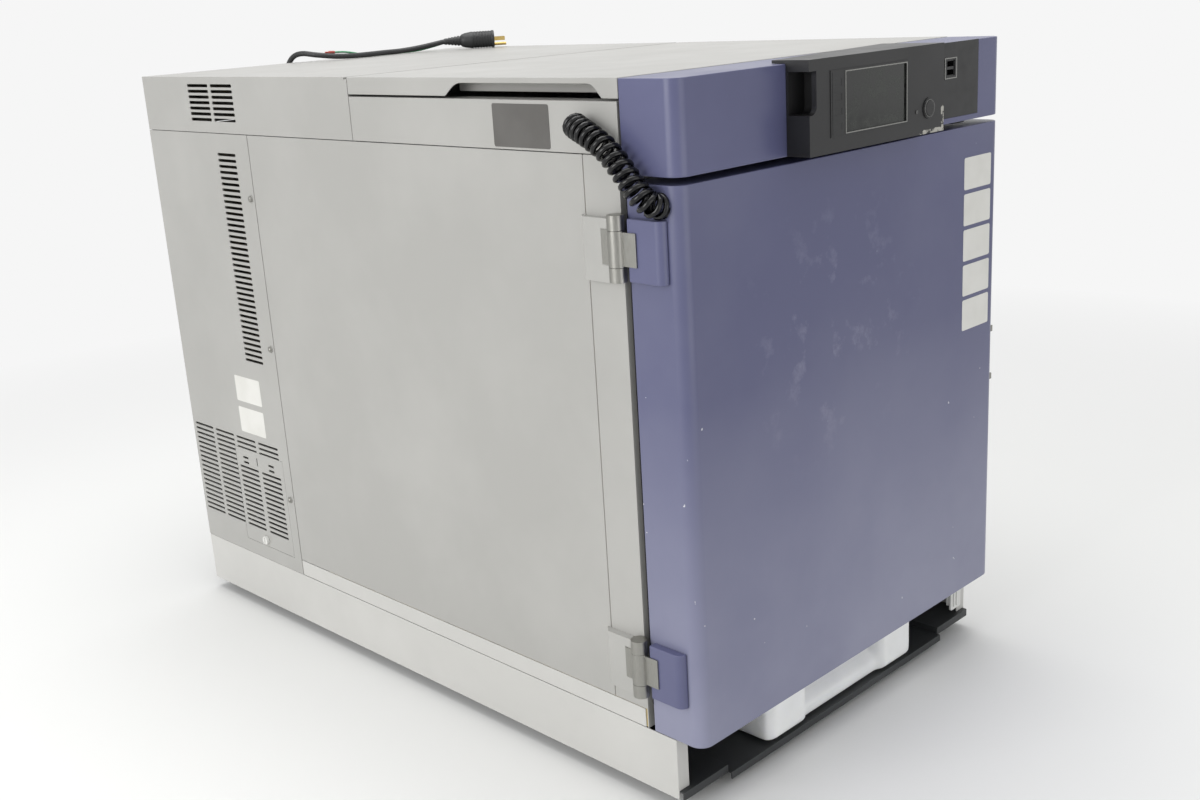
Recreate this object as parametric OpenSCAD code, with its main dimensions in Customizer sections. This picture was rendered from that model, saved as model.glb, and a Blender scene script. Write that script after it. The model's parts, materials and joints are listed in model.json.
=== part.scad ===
// Bench-top environmental test chamber: temperature and humidity cabinet with a hinged front door.
// Millimetres, +Z up, front towards -Y. Modules draw from the cabinet's front left corner on the floor,
// and placed() moves each drawing to the shared origin under the middle of the object.

/* [View] */
// Sub-part to draw, or all of them

/* [Cabinet] */
// Overall width over the side panels
cabinet_w = 590; // [500:1:800]
// Depth from the door's face to the back panel
cabinet_d = 1020; // [900:1:1300]
// Height from the floor to the top cover
cabinet_h = 790; // [700:1:1000]
// Thickness of the outer steel sheets
sheet = 2; // [1:0.5:4]
// Visible joint between neighbouring sheets
seam = 0.8; // [0.2:0.1:1]
// Height of the levelling feet
foot_h = 16; // [10:1:40]
// Height of the side rail's upper edge
rail_top = 90; // [60:1:120]
// How far the side rails' front ends stand behind the door's face
rail_front = 38; // [10:1:80]
// Width of the rail's return across the front
rail_return = 18; // [8:1:40]
// Height of the side panel's lower edge
panel_bottom = 113; // [95:1:150]
// Height of the top band and lid, from the seam under the band to the top cover
band_h = 74; // [50:1:120]
// Distance back to the side panel's front edge
panel_front = 128.5; // [100:0.5:200]
// Distance back to the seam of the rear louvre panels
rear_seam = 758; // [600:1:850]

/* [Hood and lid] */
// Depth of the coloured hood above the door
hood_d = 73.4; // [50:0.1:120]
// Height of the hood's front
hood_h = 92; // [60:0.5:140]
// Gap between the hood and the door's upper edge
hood_gap = 7.4; // [3:0.1:20]
// Radius of the upright front edges of the hood and the door
front_r = 16; // [5:1:40]
// Distance back to the lid's rear edge
lid_rear = 519; // [400:1:600]
// Depth of the lid's skirt
lid_skirt = 20; // [10:1:40]
// Dark slit under the lid's skirt
lid_slit = 2.5; // [1:0.5:6]
// Length of the hand cut-out in the skirt along its lower edge
handhold_l = 243; // [100:1:300]
// Height of the hand cut-out
handhold_h = 14; // [8:1:18]

/* [Door] */
// Height of the door's lower edge
door_bottom = 90; // [80:1:140]
// Thickness of the door without its seal
door_d = 69.5; // [40:0.5:110]
// Space between door and cabinet, filled by the seal
seal_gap = 8.5; // [4:0.5:20]
// How far the inner plug of the door stands behind its rear face
plug_d = 20; // [10:1:40]

/* [Hinges] */
// Distance of the hinge line outside the side panel
hinge_out = 10; // [8:0.5:20]
// Distance of the hinge line behind the door's face
hinge_y = 76.5; // [60:0.5:120]
// Radius of the hinge knuckles
knuckle_r = 9.1; // [5:0.1:15]
// Radius of the hinge pin
pin_r = 4; // [2:0.1:8]
// Radial running clearance around pins and shafts
run_gap = 0.06; // [0.01:0.01:0.1]
// Height of one hinge
hinge_h = 67; // [40:1:120]
// Height of the middle knuckle
knuckle_mid = 37; // [20:1:80]
// Height of the lower hinge's lower end
hinge_low = 135.5; // [110:0.5:300]
// Distance of the upper hinge's lower end below the door's upper edge
hinge_drop = 97; // [80:1:250]

/* [Test space] */
// Inner width of the test space
space_w = 400; // [200:5:450]
// Inner height of the test space
space_h = 400; // [200:5:450]
// Depth of the test space in front of the air baffle
space_d = 400; // [200:5:450]
// Height of the test space floor
space_z = 190; // [120:1:250]
// Depth of the air duct behind the baffle
duct_d = 140; // [80:1:200]
// Radius of the cable port through the right wall
port_r = 25; // [10:1:40]

/* [Control panel] */
// How far the control box stands in front of the hood
box_out = 29; // [10:1:50]
// Left edge of the control box
box_left = 165; // [100:1:250]
// Right edge of the control box
box_right = 413; // [300:1:500]
// How far the control box's lower edge stands above the hood's lower edge
box_lift = 0.1; // [0:0.1:10]
// How far the control box's flange stands above the top cover
box_rise = 3; // [1:0.5:8]
// Radius of the round key's ring
key_ring_r = 10; // [5:0.5:15]
// Travel of the round key
key_travel = 1.5; // [0.5:0.5:4]

/* [Water tank] */
// Left edge of the tank
tank_left = 147; // [60:1:250]
// Width of the tank
tank_w = 296; // [150:1:400]
// Depth of the tank
tank_d = 310; // [120:1:330]
// Distance from the door's face back to the tank's front bulges
tank_front = 24; // [5:1:80]
// Height of the tank's underside
tank_low = 21; // [18:1:40]
// Height of the tank
tank_h = 62; // [30:1:64]

/* [Louvres] */
// Vertical distance from slot to slot
slot_pitch = 8; // [5:0.25:15]
// Height of one slot
slot_h = 4; // [2:0.25:8]
// Vertical distance from slot to slot in the lower grid
grid_pitch = 7.6; // [5:0.1:15]
// Height of one slot in the lower grid
grid_slot_h = 3.4; // [2:0.2:8]

/* [Mains cord] */
// Diameter of the mains cord
cord_dia = 8; // [5:0.5:12]
// Outer diameter of the cord's coil behind the cabinet
coil_dia = 100; // [80:5:200]
// Turns of cord in the coil
coil_turns = 5; // [2:1:10]
// Outer diameter of the curly lead between cabinet and door
curl_dia = 25; // [15:1:40]

/* [Hidden] */
front_to_origin = 503;

frame_y = door_d + seal_gap;
space_x = (cabinet_w - space_w) / 2;
liner_t = 1.5;
liner_front = frame_y + sheet;
baffle_y = liner_front + space_d;
duct_back = baffle_y + duct_d;
foam_back = duct_back + 70;
liner_left = space_x - liner_t;
liner_right = space_x + space_w + liner_t;
liner_low = space_z - liner_t;
liner_high = space_z + space_h + liner_t;
fan_x = cabinet_w / 2;
fan_z = space_z + space_h - 100;
fan_r = 58;
shaft_r = 5;
lid_low = cabinet_h - lid_skirt;
seam_z = cabinet_h - band_h;
hood_top = cabinet_h - 0.6;
hood_bottom = hood_top - hood_h;
door_top = hood_bottom - hood_gap;
hinge_high = door_top - hinge_drop;
box_low = hood_bottom + box_lift;
box_high = cabinet_h + box_rise;
port_y = 300;
port_z = 420;
pipe_r = port_r + 3;
seat_gap = 0.3;
facets = 48;

// Base: front brackets, pan and tank bay
bracket_front = 32;
bracket_rear = 110;
bracket_w = 77;
bracket_top = 26;
pan_front = 29;
floor_top = 19;
deck_low = rail_top - sheet;
bay_left = 86;
bay_rear = 360;

// Louvres of the machine room and their filter cover
top_pitch = 7.5;
grid_rows = 19;
grid_top = 274;
grid_col_w = 52;
grid_col_pitch = 59;
grid_first = 784;
cover_front = 776;
cover_rear = 903;
cover_low = 111;
cover_high = 258;
cover_gap = 0.5;

// Hood: black strip, control box with its pivot and key
flush_left = 400;
flush_right = 536;
flush_low = hood_bottom + 6.6;
usb_low = flush_low + 46;
usb_high = usb_low + 21;
flange_z = hood_top + 0.4;
pivot_r = 5;
pivot_x = box_right - pivot_r;
pivot_y = -pivot_r - seat_gap;
key_x = 382;
key_z = box_low + 27.5;
screen_low = box_low + 15.5;
screen_high = screen_low + 67;
glass_edge = 3;
pocket_z = box_low + 41;
key_bore_r = key_ring_r - 1.6;

// Hinges and the side latch
hinge_bases = [hinge_low, hinge_high];
knuckle_end = (hinge_h - knuckle_mid) / 2;
cover_y = hinge_y + knuckle_r + 1;
latch_z = 390;
latch_y = 22;

tank_bulge = 9;

// Mains cord: gland low on the back, coil on the floor, plug on the rear top
cord_r = cord_dia / 2;
gland_x = 420;
gland_z = 150;
coil_x = 300;
coil_y = cabinet_d + 68;
coil_r = coil_dia / 2 - cord_r;
coil_h = coil_turns * cord_dia;
plug_at = [498, 950, cabinet_h + 13.8];
plug_turn = -38;
plug_l = 82;

module placed() translate([-cabinet_w / 2, -front_to_origin, 0]) children();

module block(from, to) translate(from) cube(to - from);

// Repeats a left-hand drawing on the right
module both_sides() {
    children();
    translate([cabinet_w, 0, 0]) mirror([1, 0, 0]) children();
}

// Turns a profile drawn in (distance back, height) into a sheet standing at x
module side_sheet(x, t) translate([x, 0, 0]) rotate([90, 0, 90]) linear_extrude(t) children();

// Cylinders along the three directions, from a start point
module rod_x(from, r, length, sides = facets) translate(from) rotate([0, 90, 0])
    cylinder(r = r, h = length, $fn = sides);
module rod_y(from, r, length, sides = facets) translate(from) rotate([-90, 0, 0])
    cylinder(r = r, h = length, $fn = sides);
module rod_z(from, r, length, sides = facets) translate(from) cylinder(r = r, h = length, $fn = sides);

// Plan outline of the hood and door: rounded upright front edges
module front_outline(w, d, r) {
    translate([r, 0]) square([w - 2 * r, d]);
    translate([0, r]) square([w, d - r]);
    for (x = [r, w - r]) translate([x, r]) circle(r, $fn = 64);
}

// A column of louvre slots with bevelled ends, drawn in (distance back, height of the top slot's middle)
module slot_column(first, last, z_top, rows, pitch, h) {
    c = h / 4;
    w = last - first;
    for (i = [0 : rows - 1]) translate([first, z_top - i * pitch - h / 2])
        polygon([[c, 0], [w - c, 0], [w, c], [w, h - c], [w - c, h], [c, h], [0, h - c], [0, c]]);
}

// Carcass

module feet() placed() color("DimGray")
    for (x = [46, cabinet_w - 46], y = [160, 940]) {
        rod_z([x, y, 0], 21, 7);
        rod_z([x, y, 6], 8, foot_h - 6);
    }

module base_frame() placed() color([0.2, 0.21, 0.22]) {
    both_sides() {
        // raised bracket at the front corner
        block([sheet, bracket_front, foot_h], [bracket_w, bracket_front + sheet, bracket_top]);
        block([sheet, bracket_front, bracket_top - sheet], [bracket_w, bracket_rear, bracket_top]);
        block([bracket_w - sheet, bracket_front, foot_h], [bracket_w, bracket_rear, bracket_top]);
        // side channel on the feet, and the wall of the tank bay
        block([sheet, bracket_rear, foot_h], [bay_left, cabinet_d - sheet, floor_top]);
        block([bay_left - sheet, bracket_rear, floor_top], [bay_left, rear_seam - 100, deck_low - seat_gap]);
    }
    // pan of the tank bay with its front lip and two runners
    block([bracket_w, pan_front, foot_h], [cabinet_w - bracket_w, bracket_rear, foot_h + sheet]);
    block([bay_left, bracket_rear, foot_h], [cabinet_w - bay_left, bay_rear, foot_h + sheet]);
    block([bracket_w, pan_front - sheet, foot_h - 7], [cabinet_w - bracket_w, pan_front, foot_h + sheet]);
    both_sides() block([tank_left + 30, 60, foot_h + sheet], [tank_left + 50, 320, tank_low - seat_gap]);
    // back wall of the tank bay and the machine-room floor
    block([bay_left, bay_rear, foot_h], [cabinet_w - bay_left, bay_rear + sheet, deck_low - seat_gap]);
    block([bay_left, 640, foot_h], [cabinet_w - bay_left, cabinet_d - sheet, floor_top]);
    // rear cross rail
    block([sheet, cabinet_d - sheet, foot_h], [cabinet_w - sheet, cabinet_d, rail_top - seam]);
    // deck that carries the insulated body
    block([sheet, frame_y + 4, deck_low], [cabinet_w - sheet, rear_seam, rail_top]);
}

module side_rails() placed() color("Gainsboro") both_sides() {
    difference() {
        block([0, rail_front, foot_h], [rail_return, cabinet_d, rail_top - seam]);
        block([sheet, rail_front + sheet, foot_h - 1], [rail_return + 1, cabinet_d + 1, rail_top]);
        block([sheet, rail_front - 1, foot_h - 1], [rail_return + 1, rail_front + sheet + 1, bracket_top]);
    }
    // low strip between the rail and the side panel
    block([0, frame_y + 4.5, rail_top], [sheet, rear_seam - seam, panel_bottom - seam]);
}

// Side panel with the port hole on one side
module side_panel(port) side_sheet(0, sheet) difference() {
    translate([panel_front, panel_bottom])
        square([rear_seam - seam - panel_front, seam_z - seam - panel_bottom]);
    if (port) translate([port_y, port_z]) circle(pipe_r, $fn = 64);
}
module side_panel_left() placed() color("Silver") side_panel(false);
module side_panel_right() placed() color("Silver")
    translate([cabinet_w, 0, 0]) mirror([1, 0, 0]) side_panel(true);

module front_frame() placed() color("Silver") {
    difference() {
        block([0, frame_y, rail_top], [cabinet_w, frame_y + sheet, seam_z - seam]);
        block([space_x, frame_y - 1, space_z], [space_x + space_w, frame_y + sheet + 1, space_z + space_h]);
    }
    both_sides() block([0, frame_y + sheet, panel_bottom], [sheet, panel_front - seam, seam_z - seam]);
}

module port_hole(r) rod_x([space_x + space_w - 1, port_y, port_z], r, 200, 64);
module shaft_hole() rod_y([fan_x, duct_back - 1, fan_z], shaft_r + 3, 100);

// Boards of insulation: floor, roof, left side, right side and back
module insulation() placed() color("Khaki") {
    block([sheet, liner_front, rail_top], [cabinet_w - sheet, foam_back, liner_low]);
    block([sheet, liner_front, liner_high], [cabinet_w - sheet, foam_back, seam_z - 6]);
    block([sheet, liner_front, liner_low + seat_gap], [liner_left, foam_back, liner_high - seat_gap]);
    difference() {
        block([liner_right, liner_front, liner_low + seat_gap],
            [cabinet_w - sheet, foam_back, liner_high - seat_gap]);
        port_hole(pipe_r);
    }
    difference() {
        block([liner_left + seat_gap, duct_back + liner_t, liner_low + seat_gap],
            [liner_right - seat_gap, foam_back, liner_high - seat_gap]);
        shaft_hole();
    }
}

// Sheets of the liner in the same order
module chamber_liner() placed() color("LightSteelBlue") {
    block([liner_left, liner_front, liner_low], [liner_right, duct_back + liner_t, space_z]);
    block([liner_left, liner_front, space_z + space_h], [liner_right, duct_back + liner_t, liner_high]);
    block([liner_left, liner_front, space_z + seat_gap],
        [space_x, duct_back + liner_t, space_z + space_h - seat_gap]);
    difference() {
        block([space_x + space_w, liner_front, space_z + seat_gap],
            [liner_right, duct_back + liner_t, space_z + space_h - seat_gap]);
        port_hole(port_r);
    }
    difference() {
        block([space_x + seat_gap, duct_back, space_z + seat_gap],
            [space_x + space_w - seat_gap, duct_back + liner_t, space_z + space_h - seat_gap]);
        shaft_hole();
    }
}

// Lined tube for test leads, open at both ends, with a flange outside
module cable_port() placed() color("WhiteSmoke") difference() {
    union() {
        rod_x([space_x + space_w + liner_t, port_y, port_z], pipe_r, space_x - liner_t, 64);
        rod_x([cabinet_w, port_y, port_z], port_r + 11, 4, 64);
    }
    rod_x([space_x + space_w, port_y, port_z], port_r, 200, 64);
}

// Air circuit behind the test space

module air_baffle() placed() color("LightSteelBlue") difference() {
    block([space_x, baffle_y - 2, space_z], [space_x + space_w, baffle_y, space_z + space_h]);
    // outlet slots in front of the fan, set like spokes
    for (a = [0 : 30 : 330]) translate([fan_x, baffle_y - 3, fan_z]) rotate([0, a, 0])
        translate([22, 0, -4]) cube([34, 4, 8]);
    // return air slots along the bottom
    for (i = [0 : 17]) translate([space_x + 24 + i * 20, baffle_y - 3, space_z + 34]) cube([10, 4, 46]);
}

module circulation_fan() placed() color("Gainsboro") {
    rod_y([fan_x, baffle_y + 12, fan_z], 16, 30);
    for (a = [0 : 60 : 300]) translate([fan_x, baffle_y + 27, fan_z]) rotate([0, a, 0])
        translate([14, 0, 0]) rotate([32, 0, 0]) translate([0, -1, -17]) cube([fan_r - 14, 2, 34]);
    rod_y([fan_x, baffle_y + 40, fan_z], shaft_r, foam_back + 12 - baffle_y - 40);
}

module fan_motor() placed() color("SlateGray") difference() {
    union() {
        rod_y([fan_x, foam_back, fan_z], 52, 4);
        rod_y([fan_x, foam_back + 4, fan_z], 40, 68);
        rod_y([fan_x, foam_back + 72, fan_z], 30, 6);
    }
    rod_y([fan_x, foam_back - 1, fan_z], shaft_r + run_gap, 40);
}

module evaporator() placed() color("Silver") {
    low = space_z + 30;
    high = fan_z - 100;
    fin_pitch = (space_w - 66.5) / 23;
    for (i = [0 : 23]) block([space_x + 30 + i * fin_pitch, baffle_y + 60, low],
        [space_x + 31 + i * fin_pitch, baffle_y + 110, high]);
    for (i = [0 : 4], y = [74, 96])
        rod_x([space_x + 24, baffle_y + y, low + 20 + i * (high - low - 40) / 4], 5, space_w - 48, 24);
    for (x = [space_x + 22, space_x + space_w - 26])
        block([x, baffle_y + 60, space_z], [x + 2, baffle_y + 110, high]);
}

module heater() placed() color("DarkSlateGray") {
    for (y = [68, 82]) translate([fan_x, baffle_y + y, fan_z]) rotate([90, 0, 0])
        rotate_extrude($fn = 64) translate([72, 0]) circle(4, $fn = 24);
    for (a = [0, 120, 240]) translate([fan_x, baffle_y + 62, fan_z]) rotate([0, a, 0])
        block([69, 0, -3], [75, 78, 3]);
}

module humidifier_pan() placed() color("LightSteelBlue") difference() {
    high_x = space_x + space_w - 60;
    block([space_x + 60, baffle_y + 10, space_z], [high_x, baffle_y + 54, space_z + 26]);
    block([space_x + 62, baffle_y + 12, space_z + 2], [high_x - 2, baffle_y + 52, space_z + 27]);
}

// Dry-bulb and wet-bulb sensors on a bracket at the upper right of the baffle
module sensors() placed() color("Gray") {
    high = space_z + space_h - 28;
    block([space_x + space_w - 62, baffle_y - 6, high - 22], [space_x + space_w - 18, baffle_y - 2, high]);
    for (x = [52, 28]) rod_z([space_x + space_w - x, baffle_y - 12, high - 102], 3, 96, 24);
    for (x = [52, 28]) block([space_x + space_w - x - 5, baffle_y - 17, high - 20],
        [space_x + space_w - x + 5, baffle_y - 6, high - 10]);
}

// Wire shelf: a rectangular rim with round cross wires
module wire_shelf(z) {
    low_x = space_x + 8;
    high_x = space_x + space_w - 8;
    low_y = liner_front + 26;
    high_y = baffle_y - 24;
    for (x = [low_x, high_x]) rod_y([x, low_y, z], 3, high_y - low_y, 24);
    for (y = [low_y, high_y]) rod_x([low_x, y, z], 3, high_x - low_x, 24);
    for (i = [1 : 23]) rod_y([low_x + i * (high_x - low_x) / 24, low_y, z + 1], 1.3, high_y - low_y, 16);
    rod_x([low_x + 11, (low_y + high_y) / 2, z - 2.5], 2.4, high_x - low_x - 22, 24);
}
shelf_low_z = space_z + 110;
shelf_high_z = space_z + space_h - 150;
module shelf_upper() placed() color("Silver") wire_shelf(shelf_high_z);
module shelf_lower() placed() color("Silver") wire_shelf(shelf_low_z);

// Slotted posts on both walls with ledges under the shelves
module shelf_rails() placed() color("LightSteelBlue") both_sides() {
    for (y = [liner_front + 60, baffle_y - 70]) difference() {
        block([space_x, y, space_z + 20], [space_x + 4, y + 16, space_z + space_h - 20]);
        for (z = [45 : 20 : space_h - 35])
            block([space_x + 2, y + 5, space_z + z], [space_x + 5, y + 11, space_z + z + 8]);
    }
    for (z = [shelf_low_z, shelf_high_z])
        block([space_x + 4, liner_front + 50, z - 6], [space_x + 16, baffle_y - 40, z - 3]);
}

// Top of the cabinet

module electrical_box() placed() color("Gainsboro") {
    block([sheet, panel_front, seam_z - 6], [cabinet_w - sheet, rear_seam, seam_z - 4]);
    block([80, 150, seam_z - 4], [430, 480, seam_z + 2]);
    for (i = [0 : 5]) block([96 + i * 52, 180, seam_z + 2], [136 + i * 52, 250, seam_z + 34]);
    block([110, 300, seam_z + 2], [390, 440, seam_z + 22]);
}

module top_band() placed() color("Silver") {
    top = lid_low - lid_slit;
    both_sides() block([0, hood_d + 3, seam_z], [sheet, lid_rear - seam, top]);
    both_sides() block([sheet, hood_d + 3, top - sheet], [26, lid_rear - seam, top]);
    block([sheet, hood_d + 3, seam_z], [cabinet_w - sheet, hood_d + 5, top]);
}

// Points of a rounded corner at b, which starts and ends at a distance from it
function round_corner(a, b, c, reach) = [
    for (f = [0 : 0.2 : 1]) let (p = b + reach * (a - b) / norm(a - b), q = b + reach * (c - b) / norm(c - b))
        (1 - f) * (1 - f) * p + 2 * f * (1 - f) * b + f * f * q
];

// Lid with a skirt and a hand cut-out at each side; it swings up about its rear edge
module top_lid() placed() color("Gainsboro") {
    front = hood_d + seam;
    notch_end = front + 21.5;
    slope = 14;
    notch = [[notch_end, lid_low - 1], [notch_end + slope, lid_low + handhold_h],
        [notch_end + handhold_l - slope - 6, lid_low + handhold_h], [notch_end + handhold_l, lid_low - 1]];
    block([0, front, cabinet_h - sheet], [cabinet_w, lid_rear - seam, cabinet_h]);
    both_sides() side_sheet(0, sheet) difference() {
        translate([front, lid_low]) square([lid_rear - seam - front, lid_skirt - sheet]);
        polygon([notch[0], each round_corner(notch[0], notch[1], notch[2], 7),
            each round_corner(notch[1], notch[2], notch[3], 10), notch[3]]);
    }
    // inner wall behind each cut-out
    both_sides() block([26, notch_end - 4, lid_low + 3],
        [26 + sheet, notch_end + handhold_l + 4, cabinet_h - sheet]);
    block([sheet, front, lid_low + 2], [cabinet_w - sheet, front + sheet, cabinet_h - sheet]);
    block([sheet, lid_rear - seam - sheet, lid_low + 4],
        [cabinet_w - sheet, lid_rear - seam, cabinet_h - sheet]);
}

module rear_cover() placed() color("Silver") {
    both_sides() side_sheet(0, sheet) difference() {
        translate([lid_rear, seam_z]) square([cabinet_d - lid_rear, cabinet_h - seam_z - 3]);
        slot_column(841, 895, cabinet_h - 11.7, 7, top_pitch, slot_h);
        slot_column(780, 834.5, cabinet_h - 11.7, 7, top_pitch, slot_h);
    }
    block([sheet, lid_rear, cabinet_h - 3 - sheet], [cabinet_w - sheet, cabinet_d, cabinet_h - 3]);
    block([0, lid_rear + 6, cabinet_h - 3], [cabinet_w, cabinet_d, cabinet_h]);
    block([sheet, cabinet_d - sheet, seam_z], [cabinet_w - sheet, cabinet_d, cabinet_h - 3 - sheet]);
    block([sheet, lid_rear, seam_z], [cabinet_w - sheet, lid_rear + sheet, cabinet_h - 3 - sheet]);
}

module hood() placed() color([0.35, 0.35, 0.5]) {
    difference() {
        translate([0, 0, hood_bottom]) linear_extrude(hood_top - hood_bottom)
            front_outline(cabinet_w, hood_d, front_r);
        translate([sheet, sheet, hood_bottom + sheet]) linear_extrude(hood_top - hood_bottom - 2 * sheet)
            front_outline(cabinet_w - 2 * sheet, hood_d - sheet + 1, front_r - sheet);
        // recess for the flush panel
        block([flush_left, -1, flush_low], [flush_right, sheet, cabinet_h]);
    }
}

// Black strip behind and beside the control box, and the small door switch under the hood
module flush_panel() placed() color("DimGray") difference() {
    union() {
        block([flush_left, 0, flush_low], [flush_right, sheet, hood_top]);
        block([flush_left - 8, sheet, flush_low - 2], [flush_right + 8, sheet + 2, hood_top - sheet]);
        block([510, 18, door_top + 2.5], [536, 40, hood_bottom]);
    }
    block([463, -1, usb_low], [486, sheet + 3, usb_high]);
}

// Socket block with two stacked ports in a raised frame
module usb_port() placed() color("DarkSlateGray") difference() {
    block([463, -0.6, usb_low], [486, 16, usb_high]);
    for (z = [usb_low + 3, usb_low + 12.5]) block([467, -2, z], [482, 10, z + 6]);
    block([466, -1, usb_low + 2], [483, 0.4, usb_high - 1.5]);
}

// Control box, hollow at its left end for the fingers

module pocket(w) {
    r = 9;
    square([w - r, 43]);
    translate([w - r - 1, r]) square([r + 1, 43 - r]);
    translate([w - r, r]) circle(r, $fn = facets);
}

module control_box() placed() color("DimGray") difference() {
    union() {
        block([box_left, -box_out, box_low], [pivot_x, pivot_y + pivot_r, flange_z]);
        block([pivot_x, -box_out, box_low], [box_right, pivot_y, flange_z]);
        rod_z([pivot_x, pivot_y, box_low], pivot_r, flange_z - box_low);
        // top flange over the hood, wider towards the pivot
        translate([0, 0, flange_z]) linear_extrude(box_high - flange_z)
            polygon([[box_left, -box_out], [box_right, -box_out], [box_right, 52], [box_left, 17]]);
        rod_y([key_x, -box_out - 1.2, key_z], key_ring_r + 1.5, 2);
    }
    // finger pocket open to the left and the front, rounded at its lower inner corner
    translate([box_left - 1, -3, pocket_z]) rotate([90, 0, 0]) linear_extrude(box_out - 9) pocket(28);
    translate([box_left - 1, -box_out + 8, pocket_z]) rotate([90, 0, 0]) linear_extrude(9) pocket(13);
    // seats of the screen and of the round key
    block([200, -box_out - 1, screen_low], [342, -box_out + 8, screen_high]);
    rod_y([key_x, -box_out - 3, key_z], key_ring_r, 20);
}

module screen_frame() placed() color([0.15, 0.15, 0.15]) difference() {
    block([200, -box_out - 0.8, screen_low], [342, -box_out + 8, screen_high]);
    block([226, -box_out - 2, screen_low + glass_edge], [337, -box_out + 3, screen_high - glass_edge]);
    // four touch keys in the narrow column, as shallow pads
    for (i = [0 : 3]) block([206, -box_out - 2, screen_low + 7 + i * 14.6],
        [219, -box_out - 0.4, screen_low + 14 + i * 14.6]);
    block([202.5, -box_out - 2, screen_low + 2], [203, -box_out - 0.2, screen_high - 2]);
}

module touch_screen() placed() color("Black")
    block([226, -box_out + 0.6, screen_low + glass_edge], [337, -box_out + 3, screen_high - glass_edge]);

module power_ring() placed() color("DarkGray") difference() {
    union() {
        rod_y([key_x, -box_out - 2, key_z], key_ring_r, 8);
        rod_y([key_x - 24, -box_out - 1, key_z - 2], 2.2, 1, 24);
    }
    rod_y([key_x, -box_out - 3, key_z], key_bore_r, 12);
}

module power_key() placed() color("Black") {
    rod_y([key_x, -box_out - 2.4, key_z], key_bore_r - run_gap, 4.4);
    rod_y([key_x, -box_out, key_z], 4, 17 - key_travel - seat_gap);
}

// Door

module door_skin() placed() color([0.35, 0.35, 0.5]) difference() {
    translate([0, 0, door_bottom]) linear_extrude(door_top - door_bottom)
        front_outline(cabinet_w, door_d, front_r);
    translate([sheet, sheet, door_bottom + sheet]) linear_extrude(door_top - door_bottom - 2 * sheet)
        front_outline(cabinet_w - 2 * sheet, door_d - sheet + 1, front_r - sheet);
}

module door_core() placed() color("Khaki") translate([sheet, sheet, door_bottom + sheet])
    linear_extrude(door_top - door_bottom - 2 * sheet)
        front_outline(cabinet_w - 2 * sheet, door_d - 2 * sheet, front_r - sheet);

// Inner sheet of the door with the raised plug that enters the test space
module door_liner() placed() color("LightSteelBlue") {
    block([sheet, door_d - sheet, door_bottom + sheet], [cabinet_w - sheet, door_d, door_top - sheet]);
    block([space_x + 8, door_d, space_z + 8],
        [space_x + space_w - 8, door_d + plug_d, space_z + space_h - 8]);
}

module door_gasket() placed() color("Black") difference() {
    block([8, door_d, panel_bottom + 4], [cabinet_w - 8, frame_y, door_top - 4]);
    block([space_x - 14, door_d - 1, space_z - 14],
        [space_x + space_w + 14, frame_y + 1, space_z + space_h + 14]);
}

// Hinges

// Raised coloured pads on the door's side that carry the door leaves, rounded at their front
module hinge_blocks() placed() color([0.35, 0.35, 0.5]) for (z = hinge_bases) translate([0, 0, z + 1])
    difference() {
        union() {
            block([-hinge_out, 26, 0], [0, 62, 63]);
            rod_z([-hinge_out + 9, 26, 0], 9, 63);
        }
        block([0, 0, -1], [20, 80, 64]);
    }

module hinge_covers() placed() color("Silver") for (z = hinge_bases) translate([0, 0, z - 3]) difference() {
    union() {
        block([-hinge_out + 1, cover_y, 0], [0, 124, 65]);
        linear_extrude(65) polygon([[-hinge_out + 1, 124], [0, 134], [0, 124]]);
    }
    block([-hinge_out, hinge_y, knuckle_end + 3], [-hinge_out + 1.5, 99, knuckle_end + knuckle_mid + 3]);
}

module hinge_door_leaves() placed() color("LightGray") for (z = hinge_bases)
    translate([0, 0, z + knuckle_end]) difference() {
        union() {
            rod_z([-hinge_out, hinge_y, seat_gap], knuckle_r, knuckle_mid - 2 * seat_gap, 64);
            block([-hinge_out - 1.8, 49.5, 1.5], [-hinge_out, hinge_y, knuckle_mid - 1.5]);
            block([-hinge_out, 62, 1.5], [-hinge_out + 3, hinge_y, knuckle_mid - 1.5]);
        }
        rod_z([-hinge_out, hinge_y, -1], pin_r + run_gap, knuckle_mid + 2, 64);
    }

// End knuckles with the fixed pin and the leaf that is screwed to the cabinet
module hinge_body_leaves() placed() color("LightGray") for (z = hinge_bases) translate([0, 0, z]) {
    for (end = [0, hinge_h - knuckle_end]) rod_z([-hinge_out, hinge_y, end], knuckle_r, knuckle_end, 64);
    rod_z([-hinge_out, hinge_y, 1], pin_r, hinge_h - 2, 64);
    for (end = [0, hinge_h - knuckle_end])
        block([-hinge_out + 1, hinge_y, end], [-hinge_out + 3, cover_y, end + knuckle_end]);
    block([-hinge_out + 0.2, cover_y, knuckle_end + 1],
        [-hinge_out + 1.5, 98.5, knuckle_end + knuckle_mid - 1]);
}

// Side latch on the door's free edge

module latch_base() placed() color("DarkGray") difference() {
    union() {
        block([cabinet_w, 10, latch_z - 42], [cabinet_w + 5, 62, latch_z + 42]);
        for (z = [latch_z - 36, latch_z + 28])
            block([cabinet_w + 5, latch_y - 8, z], [cabinet_w + 18, latch_y + 8, z + 8]);
    }
    rod_z([cabinet_w + 12, latch_y, latch_z - 60], 3 + run_gap, 120);
}

module latch_handle() placed() color("DimGray") {
    rod_z([cabinet_w + 12, latch_y, latch_z - 36], 3, 72);
    rod_z([cabinet_w + 12, latch_y, latch_z - 28 + seat_gap], 6, 56 - 2 * seat_gap);
    block([cabinet_w + 14, latch_y, latch_z - 27], [cabinet_w + 18, 100, latch_z + 27]);
    block([cabinet_w + 18, 84, latch_z - 27], [cabinet_w + 23, 100, latch_z + 27]);
}

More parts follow.
